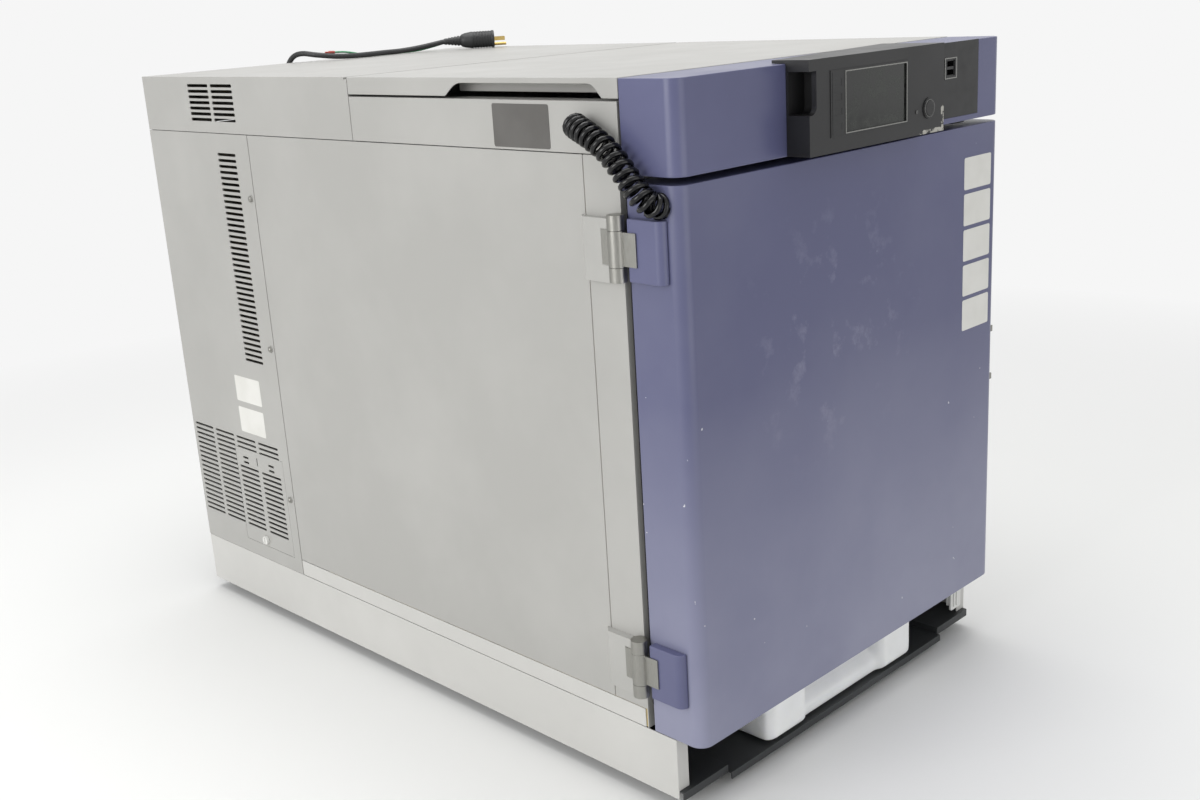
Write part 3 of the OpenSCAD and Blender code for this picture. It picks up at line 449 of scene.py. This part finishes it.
# %% [markdown]
# **Powder coat.** The outer sheets are steel with a baked epoxy-polyester powder. Melted powder sets
# with a fine orange peel, about a millimetre and a half from lump to lump, and a satin gloss. Dust and
# handling leave faint cloudy patches, hundreds of millimetres wide. A flat colour would look like
# plastic; the peel is what breaks the gloss up, and the clouds keep the big sheets from looking new.

# %% Powder coats
CLOUD_MM = 260
SPECK_MM = 1.1
HANDLING_MM = 70


def powder_coat(name, colour, dusty, roughness, peel_mm=1.6, peel_depth=0.012):
    """Baked powder with dusty clouds, fine specks and an orange peel. Also gives back its colour."""
    finish, tree, shader, place = new_finish(name)
    clouds = add(tree, NOISE, {"Vector": place, "Scale": lumps(CLOUD_MM), "Detail": 4, "Roughness": 0.6})
    cloudy = add(tree, RANGE, {0: clouds, 1: 0.42, 2: 0.66})
    specks = add(tree, NOISE, {"Vector": place, "Scale": lumps(SPECK_MM), "Detail": 1})
    specked = add(tree, RANGE, {0: specks, 1: 0.64, 2: 0.72, 4: 0.35})
    base = add(tree, MIX, {"data_type": "RGBA", 0: cloudy, 6: linear(colour), 7: linear(dusty)}, 2)
    toned = add(tree, MIX, {"data_type": "RGBA", 0: specked, 6: base, 7: linear(dusty)}, 2)
    handling = add(tree, NOISE, {"Vector": place, "Scale": lumps(HANDLING_MM), "Detail": 4})
    worn = add(tree, RANGE, {0: handling, 1: 0.3, 2: 0.75, 3: roughness - 0.05, 4: roughness + 0.07})
    peel = add(tree, NOISE, {"Vector": place, "Scale": lumps(peel_mm), "Detail": 2})
    shader.inputs["IOR"].default_value = 1.5
    settle(tree, shader, toned, worn, peel, peel_depth)
    return finish, tree, shader, place, toned


powder_coat("cabinet_paint", "#A4A39F", "#ABAAA6", 0.42)
# The rail's grey is paler than the cabinet's. That extra lightness is painted light, standing in for the
# light that the rail catches from the floor.
powder_coat("rail_paint", "#C0BFBB", "#C7C6C2", 0.38)
powder_coat("base_steel", "#2C2E2F", "#3A3C3D", 0.5)
powder_coat("black_paint", "#17181A", "#232426", 0.4)
powder_coat("motor_metal", "#5B6066", "#666B70", 0.45)
powder_coat("violet_paint", "#555777", "#5B5D7D", 0.33)
print("powder coats", sorted(finishes))

# %% [markdown]
# ** Scuffed door paint.** The door wears the same violet powder, but use has left pale smears across
# its middle and a few chips. Its lower half is painted paler too: a painted reflection of the bright
# floor in front of the door, uneven under noise. They could be painted by hand as an image. Masks do
# it without one: one keeps the smears inside an oval on the door's face, noise breaks them up, and the
# painted reflection grows from the middle down.

# %% Scuffed door paint
SMEAR_MIDDLE = at(250, 0, 500)
SMEAR_REACH = (0.2, 1, 0.17)
SMEAR_MM = 46
SMEAR_STRENGTH = 0.4
REFLECTION_TOP = at(0, 0, 470).z
REFLECTION_FULL = at(0, 0, 120).z
REFLECTION_PATCH_MM = 150
CHIP_MM = 9

door_paint, tree, shader, place, toned = powder_coat("door_paint", "#555777", "#5D5F7C", 0.33)
away = add(tree, VECTOR, {"operation": "SUBTRACT", 0: place, 1: SMEAR_MIDDLE})
scaled = add(tree, VECTOR, {"operation": "DIVIDE", 0: away, 1: SMEAR_REACH})
distance = add(tree, VECTOR, {"operation": "LENGTH", 0: scaled}, "Value")
region = add(tree, RANGE, {0: distance, 1: 1, 2: 0.3})
patchy = add(tree, NOISE, {"Vector": place, "Scale": lumps(SMEAR_MM), "Detail": 6, "Roughness": 0.68})
patches = add(tree, RANGE, {0: patchy, 1: 0.56, 2: 0.7})
smears = add(tree, MATH, {"operation": "MULTIPLY", 0: region, 1: patches})
faint = add(tree, MATH, {"operation": "MULTIPLY", 0: smears, 1: SMEAR_STRENGTH})
smeared = add(tree, MIX, {"data_type": "RGBA", 0: faint, 6: toned, 7: linear("#9A9AAE")}, 2)

# The door's lower half is painted paler towards the bottom. This is a painted reflection of the bright
# floor in front of it, made uneven by noise.
height = add(tree, "ShaderNodeSeparateXYZ", {0: place}, "Z")
reflection_noise = add(tree, NOISE, {"Vector": place, "Scale": lumps(REFLECTION_PATCH_MM), "Detail": 4, "Roughness": 0.55})
uneven = add(tree, RANGE, {0: reflection_noise, 1: 0.3, 2: 0.7, 3: 0.36, 4: 0.52})
falling = add(tree, RANGE, {0: height, 1: REFLECTION_TOP, 2: REFLECTION_FULL})
haze = add(tree, MATH, {"operation": "MULTIPLY", 0: falling, 1: uneven})
reflected_floor = add(tree, MIX, {"data_type": "RGBA", 0: haze, 6: smeared, 7: linear("#A9AABC")}, 2)

spots = add(tree, NOISE, {"Vector": place, "Scale": lumps(CHIP_MM), "Detail": 2})
chips = add(tree, RANGE, {0: spots, 1: 0.775, 2: 0.785})
chipped = add(tree, MIX, {"data_type": "RGBA", 0: chips, 6: reflected_floor, 7: linear("#C9C9CE")}, 2)
tree.links.new(chipped, shader.inputs["Base Color"])
print("the haze on the door grows from", round(REFLECTION_TOP, 3), "to", round(REFLECTION_FULL, 3), "m")

# %% [markdown]
# **Chipped box.** The control box is a painted pressing. Where it swings past the hood its lower right
# corner has been knocked: the black paint has flaked off in small ragged islands down to the pale
# primer. A second material on some faces would give straight edges. Ranges that hold the chips close
# to the lower and the right edge, torn by noise, give ragged ones.

# %% Chipped control box
CHIP_LOW_EDGE = (at(0, 0, 701.5).z, at(0, 0, 705).z)
CHIP_FROM_X = (at(372, 0, 0).x, at(338, 0, 0).x)
CHIP_RIGHT_EDGE = (at(408.5, 0, 0).x, at(403, 0, 0).x)
CHIP_UP_TO_Z = (at(0, 0, 722).z, at(0, 0, 740).z)
TEAR_MM = 9

box_paint, tree, shader, place, toned = powder_coat("box_paint", "#1C1C1D", "#242425", 0.4, 0.9)
across = add(tree, "ShaderNodeSeparateXYZ", {0: place}, "X")
height = add(tree, "ShaderNodeSeparateXYZ", {0: place}, "Z")
zones = ((height, CHIP_LOW_EDGE), (across, CHIP_FROM_X), (across, CHIP_RIGHT_EDGE),
         (height, CHIP_UP_TO_Z))
low, from_middle, right, up_to = [
    add(tree, RANGE, {0: value, 1: outer, 2: inner}) for value, (inner, outer) in zones]
along_low = add(tree, MATH, {"operation": "MULTIPLY", 0: low, 1: from_middle})
up_right = add(tree, MATH, {"operation": "MULTIPLY", 0: right, 1: up_to})
edge_zone = add(tree, MATH, {"operation": "MAXIMUM", 0: along_low, 1: up_right})
tears = add(tree, NOISE, {"Vector": place, "Scale": lumps(TEAR_MM), "Detail": 5, "Roughness": 0.65})
ragged = add(tree, MATH, {"operation": "MULTIPLY", 0: edge_zone, 1: tears})
torn = add(tree, RANGE, {0: ragged, 1: 0.42, 2: 0.46})
bared = add(tree, MIX, {"data_type": "RGBA", 0: torn, 6: toned, 7: linear("#A9A79F")}, 2)
tree.links.new(bared, shader.inputs["Base Color"])
print("the box's chips are held by", len(zones), "ranges")

# %% [markdown]
# **Brushed steel, aluminium, brass and copper.** The test space is lined with stainless sheet, brushed
# along one direction, and the hinges are cast and rubbed down. The lines are hair-fine on the real
# sheet, about 0.2 mm; they are drawn coarser so that they show, and they smear each highlight across
# the brushing. An anisotropic shader would need tangents on every piece. Stretching the noise along one
# axis makes lines out of lumps on any of them.

# %% Metals
METAL_HAZE_MM = 120


def brushed(name, colour, line_colour, roughness, line_mm=0.8, stretch=(1, 1, 0.02)):
    """Bare metal with fine lines along the axis where stretch is small, under a faint haze."""
    tree, shader, place = new_finish(name)[1:]
    along = add(tree, VECTOR, {"operation": "MULTIPLY", 0: place, 1: stretch})
    lines = add(tree, NOISE, {"Vector": along, "Scale": lumps(line_mm), "Detail": 2})
    crisp = add(tree, RANGE, {0: lines, 1: 0.3, 2: 0.7})
    tone = add(tree, MIX, {"data_type": "RGBA", 0: crisp, 6: linear(colour), 7: linear(line_colour)}, 2)
    haze = add(tree, NOISE, {"Vector": place, "Scale": lumps(METAL_HAZE_MM), "Detail": 3})
    hazy = add(tree, RANGE, {0: haze, 1: 0.35, 2: 0.65, 4: 0.5})
    toned = add(tree, MIX, {"data_type": "RGBA", 0: hazy, 6: tone, 7: linear(colour)}, 2)
    sheen = add(tree, RANGE, {0: lines, 1: 0.2, 2: 0.8, 3: roughness - 0.06, 4: roughness + 0.1})
    shader.inputs["Metallic"].default_value = 1
    settle(tree, shader, toned, sheen, lines, 0.01)


brushed("stainless", "#B9BBBC", "#D2D3D4", 0.32)
brushed("bright_steel", "#92918C", "#A3A29D", 0.33, 0.35, (1, 1, 0.06))
brushed("fin_aluminium", "#C8CACB", "#D9DADB", 0.35, 1.2, (1, 0.1, 1))
brushed("trim_grey", "#8B8B88", "#9A9A97", 0.34, 0.5, (1, 0.1, 1))
brushed("ring_metal", "#5E5E5E", "#6C6C6B", 0.2, 0.5, (1, 0.1, 1))
brushed("copper", "#B87452", "#C98A68", 0.3, 1, (1, 1, 0.2))
brushed("blade_brass", "#C9AE6B", "#DAC07E", 0.25, 0.6, (0.2, 0.2, 1))
print("finishes so far", len(finishes))

# %% [markdown]
# **Moulded plastics and rubbers.** Moulded parts copy the spark-eroded texture of their mould: a fine
# even grain of roughly half a millimetre, which blurs reflections into a soft sheen. ABS is a little
# glossy and rubber is dull. Label film and foam are even sheets that the same recipe suits, with less
# or more depth. Each could have a recipe of its own, but they differ only in colour, polish and grain.

# %% Plastics and rubbers
TONE_MM = 40
POLISH_MM = 18


def moulded(name, colour, other, roughness, grain_mm=0.7, depth=0.02, ior=1.5):
    """A moulded surface: two close tones, uneven polish and a fine grain."""
    finish, tree, shader, place = new_finish(name)
    drift = add(tree, NOISE, {"Vector": place, "Scale": lumps(TONE_MM), "Detail": 4})
    tone = add(tree, RANGE, {0: drift, 1: 0.35, 2: 0.65})
    toned = add(tree, MIX, {"data_type": "RGBA", 0: tone, 6: linear(colour), 7: linear(other)}, 2)
    rubbed = add(tree, NOISE, {"Vector": place, "Scale": lumps(POLISH_MM), "Detail": 4})
    polish = add(tree, RANGE, {0: rubbed, 1: 0.3, 2: 0.7, 3: roughness - 0.06, 4: roughness + 0.08})
    grain = add(tree, NOISE, {"Vector": place, "Scale": lumps(grain_mm), "Detail": 1})
    shader.inputs["IOR"].default_value = ior
    settle(tree, shader, toned, polish, grain, depth)
    return finish, shader


moulded("black_plastic", "#121213", "#191A1B", 0.38, 0.6, 0.02)
moulded("grey_plastic", "#3C3C3E", "#444446", 0.45)
moulded("white_plastic", "#DADAD6", "#E2E2DE", 0.35, 0.6, 0.01)
moulded("seal_rubber", "#0F0F10", "#181819", 0.62, 0.9, 0.03, 1.52)
moulded("cord_rubber", "#1B1C1D", "#242526", 0.46, 0.8, 0.02, 1.52)
moulded("glossy_cord", "#050506", "#0A0A0B", 0.15, 2.5, 0.01, 1.42)
moulded("earth_green", "#3F8F62", "#5AA578", 0.4, 0.8, 0.02, 1.5)
moulded("crimp_red", "#A8473B", "#B5584C", 0.35, 0.8, 0.01, 1.5)
moulded("foam", "#CDB678", "#D8C48C", 0.85, 1.4, 0.2, 1.45)
moulded("label_stock", "#D3D2CC", "#DAD9D4", 0.38, 1.2, 0.004, 1.5)
moulded("rating_stock", "#54524F", "#5C5A57", 0.4, 1.2, 0.004, 1.5)
print("finishes so far", len(finishes))

# %% [markdown]
# **Polyethylene tank.** Blow-moulded polyethylene lets some light in, which makes the tank look milky
# and softens its shadows. Plain white paint would look like enamel. Subsurface scattering with a reach
# of some millimetres is what gives the milkiness.

# %% Tank plastic
MILKINESS = 0.5
LIGHT_REACH = (0.02, 0.02, 0.018)
REACH_SCALE = 0.4
tank_finish, shader = moulded("tank_plastic", "#F0F1F0", "#F6F7F6", 0.34, 3, 0.02, 1.51)
shader.inputs["Subsurface Weight"].default_value = MILKINESS
shader.inputs["Subsurface Radius"].default_value = LIGHT_REACH
shader.inputs["Subsurface Scale"].default_value = REACH_SCALE
print("light enters the tank about", round(LIGHT_REACH[0] * REACH_SCALE / MM), "mm")

# %% [markdown]
# **Touch screen.** The glass is nearly black and glossy. Clean, it would mirror the room and read as
# polished plastic. Finger grease is what makes it readable as glass: rough, slightly greenish smears
# over a smooth dark sheet.

# %% Screen glass
GREASE_MM = 22
GLASS_WAVE_MM = 14
tree, shader, place = new_finish("screen_glass")[1:]
grease = add(tree, NOISE, {"Vector": place, "Scale": lumps(GREASE_MM), "Detail": 6, "Roughness": 0.7})
smudge = add(tree, RANGE, {0: grease, 1: 0.42, 2: 0.68})
smudged = add(tree, MIX, {"data_type": "RGBA", 0: smudge, 6: linear("#0C0E0C"), 7: linear("#282C27")}, 2)
dulled = add(tree, RANGE, {0: smudge, 3: 0.1, 4: 0.42})
wave = add(tree, NOISE, {"Vector": place, "Scale": lumps(GLASS_WAVE_MM), "Detail": 3})
shader.inputs["IOR"].default_value = 1.52
settle(tree, shader, smudged, dulled, wave, 0.004)
print("finishes in all", len(finishes))

# %% [markdown]
# The record says which finish each CAD node has. Each node could be dressed by its own line, but one
# loop that reads the record can't forget any. The door's outer skin and the control box get the worn
# versions of their paint, the door's with a painted reflection of the floor on its lower half, and the
# filter cover's knob is pale plastic.

# %% Dress the CAD nodes
def dress(piece, finish):
    piece.data.materials.clear()
    piece.data.materials.append(finish)


slots = {part["node"]: part["material_slot"] for part in frame["record"]["subparts"]}
for node_name, node in frame["nodes"].items():
    dress(node, finishes[slots[node_name]])
dress(frame["nodes"]["door_skin"], door_paint)
dress(frame["nodes"]["control_box"], box_paint)
dress(frame["nodes"]["filter_knob"], finishes["white_plastic"])
for piece in (mains_cord, plug_body, gland_nut, sleeve, door_lead):
    dress(piece, finishes[piece["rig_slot"]])
dress(earth_lead, finishes["earth_green"])
dress(crimp, finishes["crimp_red"])
print("dressed", len(frame["nodes"]), "nodes")

# %% [markdown]
# ## Sheet metal
#
# A folded steel sheet never has a knife edge: the bend has an outer radius of about a millimetre, and
# powder builds up a little more. That radius is what catches the light along every seam. It could be
# modelled in CAD, at the price of many small faces. Here each outer sheet is copied, its flat triangles
# are merged back into whole faces, and a bevel rounds the edges. Weighted normals keep the flats flat.

# %% Rounded sheet edges
SAME_PLACE = 2e-6
FLAT_WITHIN = math.radians(0.6)
EDGE_FROM = math.radians(32)
FLATNESS = 80
bodies = frame["record"]["behaviour"]["bodies"]
body_of = {name: body for body, names in bodies.items() for name in names}
slot_of = {**slots, "filter_knob": "white_plastic"}


def rounded(node_name, radius_mm):
    """A copy of a CAD node with rounded edges, which stands for that node."""
    node = frame["nodes"][node_name]
    maker = bmesh.new()
    maker.from_mesh(node.data)
    bmesh.ops.remove_doubles(maker, verts=maker.verts, dist=SAME_PLACE)
    bmesh.ops.dissolve_limit(maker, angle_limit=FLAT_WITHIN, verts=maker.verts, edges=maker.edges)
    piece = from_bmesh(node_name + "_rounded", maker)
    piece.data.polygons.foreach_set("use_smooth", [True] * len(piece.data.polygons))
    bevel = piece.modifiers.new("edge", "BEVEL")
    bevel.width = radius_mm * MM
    bevel.segments = 2
    bevel.limit_method = "ANGLE"
    bevel.angle_limit = EDGE_FROM
    bevel.use_clamp_overlap = True
    flats = piece.modifiers.new("flats", "WEIGHTED_NORMAL")
    flats.weight = FLATNESS
    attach(piece, body_of[node_name])
    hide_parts(node_name)
    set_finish(piece, slot_of[node_name])
    dress(piece, node.data.materials[0])


EDGE_RADII = {
    "hood": 1.2, "door_skin": 1.2, "top_lid": 0.9, "top_band": 0.7, "rear_cover": 0.5,
    "side_panel_left": 0.8, "side_panel_right": 0.8, "front_frame": 0.8, "side_rails": 0.9,
    "rear_panel_left": 0.35, "rear_panel_right": 0.35, "filter_cover": 0.35, "control_box": 1.4,
    "screen_frame": 0.5, "hinge_blocks": 2.2, "hinge_covers": 1.4, "hinge_door_leaves": 0.6,
    "hinge_body_leaves": 0.5, "latch_base": 0.8, "latch_handle": 1.2, "latch_keeper": 0.6,
    "flush_panel": 0.3, "back_panel": 0.3, "base_frame": 0.5, "filter_knob": 0.5, "power_ring": 0.4,
    "power_key": 0.8, "usb_port": 0.3, "feet": 1.0,
}
for node_name, radius in EDGE_RADII.items():
    rounded(node_name, radius)
print("rounded", len(EDGE_RADII), "sheets and castings")

# %% [markdown]
# The tank is blow-moulded: hot plastic is blown against the mould, so every corner is generously
# round and the walls are slightly wavy. A bevel would give even, machined corners. Rebuilding the solid
# as an even voxel skin and smoothing it gives exactly those soft ones.

# %% Blow-moulded tank
VOXEL_MM = 2.5
SOFTENING = 14
tank_skin = put("tank_skin", frame["nodes"]["water_tank"].data.copy())
voxels = tank_skin.modifiers.new("voxels", "REMESH")
voxels.mode = "VOXEL"
voxels.voxel_size = VOXEL_MM * MM
voxels.use_smooth_shade = True
soften = tank_skin.modifiers.new("soften", "SMOOTH")
soften.iterations = SOFTENING
tank_skin.data.polygons.foreach_set("use_smooth", [True] * len(tank_skin.data.polygons))
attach(tank_skin, "tank")
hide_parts("water_tank")
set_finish(tank_skin, "tank_plastic")
dress(tank_skin, tank_finish)
print("tank skin in voxels of", VOXEL_MM, "mm")

# %% [markdown]
# Labels and the rail's clip are thin plates with rounded corners. A cube with a bevel would round their
# thickness too. An outline with four arcs, drawn on the front and on the back and joined all round,
# keeps the faces flat and the rim square, like stock that is punched out.

# %% Thin plates
ARC_STEPS = 5


def rounded_outline(wide, high, radius):
    """Points round a rectangle with arcs at its corners."""
    outline = []
    middles = ((wide - radius, high - radius, 0), (radius, high - radius, 90), (radius, radius, 180),
               (wide - radius, radius, 270))
    for cx, cy, begin in middles:
        for k in range(ARC_STEPS + 1):
            angle = math.radians(begin + 90 * k / ARC_STEPS)
            outline.append((cx + radius * math.cos(angle), cy + radius * math.sin(angle)))
    return outline


def plate(name, corner, across, up, thick, radius, finish, body):
    """A thin plate from its corner. Across and up are its two sides, as vectors in millimetres."""
    outline = rounded_outline(Vector(across).length, Vector(up).length, radius)
    right = Vector(across).normalized()
    upward = Vector(up).normalized()
    out = right.cross(upward)
    base = at(*corner)
    maker = bmesh.new()
    lower = [maker.verts.new(base + (right * u + upward * v) * MM) for u, v in outline]
    upper = [maker.verts.new(base + (right * u + upward * v + out * thick) * MM) for u, v in outline]
    maker.faces.new(lower[::-1])
    maker.faces.new(upper)
    for k in range(len(outline)):
        j = (k + 1) % len(outline)
        maker.faces.new((lower[k], lower[j], upper[j], upper[k]))
    piece = from_bmesh(name, maker)
    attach(piece, body)
    dress(piece, finish)


print("a plate's outline has", 4 * (ARC_STEPS + 1), "points")

# %% [markdown]
# Blank label stock lies on three sheets: five pieces on the door, two on the rear panel and a darker
# plate on the band. They could be patches of colour in the paint, but real stock is a quarter of a
# millimetre thick and catches the light along its rim, so each is a plate.

# %% Label stock
LABEL_W = 61
LABEL_H = 38.5
LABEL_STEP = 43.5
LABEL_THICK = 0.25
for i in range(5):
    plate(f"door_label_{i + 1}", (508.5, 0, 614.5 - LABEL_STEP * i), (LABEL_W, 0, 0), (0, 0, LABEL_H),
          LABEL_THICK, 2.5, finishes["label_stock"], "door")
for i, low in enumerate((333, 286)):
    plate(f"rear_label_{i + 1}", (0, 876, low), (0, -66, 0), (0, 0, 38), LABEL_THICK, 2,
          finishes["label_stock"], "cabinet")
plate("rating_plate", (0, 260, 718.5), (0, -87, 0), (0, 0, 45), 0.3, 2.5, finishes["rating_stock"],
      "cabinet")
print("door labels", LABEL_W, "by", LABEL_H, "mm")

# %% [markdown]
# The touch glass sits in a thin raised trim, and the data ports have one as well. A picture frame like
# this could be cut out of a plate with a Boolean. Two rectangles on the front and two on the back,
# joined all round, give the same ring with clean faces, and a small bevel takes its edges off.

# %% Raised trims
TRIM_EDGE = 0.15


def trim(name, low, high, width, back_y, front_y, body):
    """A rectangular ring in an upright plane. Low and high are (x, z) corners of its outer outline."""
    (x0, z0), (x1, z1) = low, high
    outlines = []
    for inset in (0, width):
        outlines.append([(x0 + inset, z0 + inset), (x1 - inset, z0 + inset), (x1 - inset, z1 - inset),
                         (x0 + inset, z1 - inset)])
    maker = bmesh.new()
    rings = [[maker.verts.new(at(x, y, z)) for x, z in outline]
             for y in (back_y, front_y) for outline in outlines]
    back_outer, back_inner, front_outer, front_inner = rings
    for first, second in ((back_outer, front_outer), (front_outer, front_inner),
                          (front_inner, back_inner), (back_inner, back_outer)):
        for k in range(4):
            j = (k + 1) % 4
            maker.faces.new((first[k], first[j], second[j], second[k]))
    bmesh.ops.recalc_face_normals(maker, faces=maker.faces)
    piece = from_bmesh(name, maker)
    edge = piece.modifiers.new("edge", "BEVEL")
    edge.width = TRIM_EDGE * MM
    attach(piece, body)
    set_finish(piece, slots["power_ring"])
    dress(piece, finishes["trim_grey"])


BOX_FRONT = -29
GLASS_TRIM_BACK = BOX_FRONT - 0.8
GLASS_TRIM_FRONT = BOX_FRONT - 1.3
# The glass trim's light grey is partly a painted highlight. Besides the trim itself, it stands in for
# the light caught along the edge of the glass's recess.
trim("glass_trim", (224.8, 714.8), (338.2, 778.2), 1.2, GLASS_TRIM_BACK, GLASS_TRIM_FRONT,
     body_of["screen_frame"])
trim("port_trim", (461.6, 748.6), (487.4, 772.4), 1.3, 0, -0.7, body_of["flush_panel"])
print("glass trim stands", round(BOX_FRONT - GLASS_TRIM_FRONT, 1), "mm proud of the box")

# %% [markdown]
# Pan-head screws with a plain washer hold the rear louvre panels along their front seam, three on each
# side. A screw could be a CAD fastener with its thread, but only the head shows. The washer is a low
# disc and the head a flat dome, and both come from one turned profile.

# %% Seam screws
SCREW_BACK = 766
SCREW_OUT = 1.6
SCREW_HEIGHTS = (203, 424, 631)
screw_profile = [(0, 4.4), (0.7, 4.4), (0.8, 4.1), (0.8, 2.9), (1.5, 2.7), (2.1, 2), (2.3, 1.1),
                 (2.1, 0.5)]
for side, wall_x, outward in (("left", -SCREW_OUT, -1), ("right", CABINET_W + SCREW_OUT, 1)):
    for i, z in enumerate(SCREW_HEIGHTS):
        seat = at(wall_x, SCREW_BACK, z)
        screw = lathe(f"seam_screw_{side}_{i + 1}", screw_profile, seat, (outward, 0, 0), 24)
        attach(screw, "cabinet")
        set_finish(screw, "bright_steel")
        dress(screw, finishes["bright_steel"])
print("seam screws on each side", len(SCREW_HEIGHTS))

# %% [markdown]
# Under the door a small white moulded clip grips the inner edge of the right rail's front return. It
# is a slab with two ribs down its face, a jaw behind the sheet and a bridge that joins them. One solid
# with a slot would look the same, but four plates round the sheet are simpler and fit as closely.

# %% Rail clip
CLIP_LEFT = 552
CLIP_W = 25
CLIP_LOW = 35
CLIP_H = 31
CLIP_THICK = 2.6
RAIL_FACE = 38
SHEET = 2
clip_plastic = finishes["white_plastic"]

plate("clip_slab", (CLIP_LEFT, RAIL_FACE, CLIP_LOW), (CLIP_W, 0, 0), (0, 0, CLIP_H), CLIP_THICK, 3,
      clip_plastic, "cabinet")
for i, across in enumerate((6, 13)):
    plate(f"clip_rib_{i + 1}", (CLIP_LEFT + across, RAIL_FACE - CLIP_THICK, CLIP_LOW + 4), (2.4, 0, 0),
          (0, 0, CLIP_H - 8), 1.4, 1.1, clip_plastic, "cabinet")
plate("clip_jaw", (CLIP_LEFT, RAIL_FACE + SHEET + 2.4, CLIP_LOW + 6), (CLIP_W - 2, 0, 0),
      (0, 0, CLIP_H - 12), 2.2, 2, clip_plastic, "cabinet")
plate("clip_bridge", (CLIP_LEFT + 1, RAIL_FACE + SHEET + 1, CLIP_LOW + 8), (18, 0, 0),
      (0, 0, CLIP_H - 16), SHEET + 2, 2, clip_plastic, "cabinet")
print("clip", CLIP_W, "by", CLIP_H, "mm")

# %% [markdown]
# ## Studio
#
# The machine is shown on white. A curved backdrop would do, but it shows in views from behind. So the
# floor is one pale sheet. Far from the machine it fades into the colour of the background, and no
# horizon shows. It fades for camera rays alone, and the light that it throws back onto the machine
# stays that of a plain floor.

# %% Floor
FAR = 6
FADE_FROM = 1.0
FADE_TO = 2.3
BACKGROUND = "#F6F6F6"
floor_mesh = bpy.data.meshes.new("floor")
floor_corners = [(-FAR, -FAR, 0), (FAR, -FAR, 0), (FAR, FAR, 0), (-FAR, FAR, 0)]
floor_mesh.from_pydata(floor_corners, [], [(0, 1, 2, 3)])
floor = put("floor", floor_mesh)
floor_finish, tree, shader, place = new_finish("floor_finish")
scuffs = add(tree, NOISE, {"Vector": place, "Scale": lumps(600), "Detail": 3})
pale = add(tree, MIX, {"data_type": "RGBA", 0: scuffs, 6: linear("#EAEAE8"), 7: linear("#E9E9E7")}, 2)
tree.links.new(pale, shader.inputs["Base Color"])
shader.inputs["Roughness"].default_value = 0.8
reach = add(tree, VECTOR, {"operation": "LENGTH", 0: place}, "Value")
far_off = add(tree, RANGE, {0: reach, 1: FADE_FROM, 2: FADE_TO})
straight = add(tree, "ShaderNodeLightPath", {}, "Is Camera Ray")
fade = add(tree, MATH, {"operation": "MULTIPLY", 0: far_off, 1: straight})
plain = add(tree, "ShaderNodeEmission", {"Color": linear(BACKGROUND), "Strength": 1.0})
faded = add(tree, "ShaderNodeMixShader", {0: fade, 1: shader.outputs[0], 2: plain})
tree.links.new(faded, tree.nodes["Material Output"].inputs["Surface"])
dress(floor, floor_finish)
print("the floor fades between", FADE_FROM, "and", FADE_TO, "m")

# %% [markdown]
# The world lights the machine evenly from all sides. If the camera saw that same world it would look
# grey, and more light would bleach the paint. So the camera and mirrored rays see the background's own
# colour, and only the light that falls on the machine comes from the dimmer sky.

# %% Sky
SKY_STRENGTH = 0.65
world = bpy.data.worlds.new("studio")
bpy.context.scene.world = world
world.use_nodes = True
sky = world.node_tree
sky.nodes.clear()
lit = add(sky, "ShaderNodeBackground", {"Color": linear("#F0F1F3"), "Strength": SKY_STRENGTH})
seen = add(sky, "ShaderNodeBackground", {"Color": linear(BACKGROUND), "Strength": 1.0})
straight = add(sky, "ShaderNodeLightPath", {}, "Is Camera Ray")
mirrored = add(sky, "ShaderNodeLightPath", {}, "Is Glossy Ray")
direct = add(sky, MATH, {"operation": "MAXIMUM", 0: straight, 1: mirrored})
picked = add(sky, "ShaderNodeMixShader", {0: direct, 1: lit, 2: seen})
add(sky, "ShaderNodeOutputWorld", {"Surface": picked})
print("sky strength", SKY_STRENGTH)

# %% [markdown]
# Three large, soft area lamps give the sheets their gentle shading: one overhead, one to the left and a
# weak one low in front. Point lamps would throw hard shadows and small glints. Their level is above a
# plain one: the cabinet's paint, written as a grey of 164, renders at about 190 on the left side and
# at about 215 on top.

# %% Lamps
def lamp(name, place, target, size, watts):
    """A square lamp at a place that faces a target."""
    light = bpy.data.lights.new(name, "AREA")
    light.size = size
    light.energy = watts
    holder = put(name, light)
    holder.location = place
    holder.rotation_mode = "QUATERNION"
    holder.rotation_quaternion = (Vector(target) - Vector(place)).to_track_quat("-Z", "Y")


lamp("ceiling", (0.2, 0.2, 2.9), (0, 0, 0.4), 2.6, 56)
lamp("left_fill", (-3.0, 0.1, 1.3), (0, 0, 0.4), 1.8, 46)
lamp("front_low", (-0.2, -2.2, 0.4), (0, -0.5, 0.1), 1.2, 6)
bpy.context.scene.view_settings.view_transform = "Standard"
print("lamps", [light.name for light in bpy.data.lights])
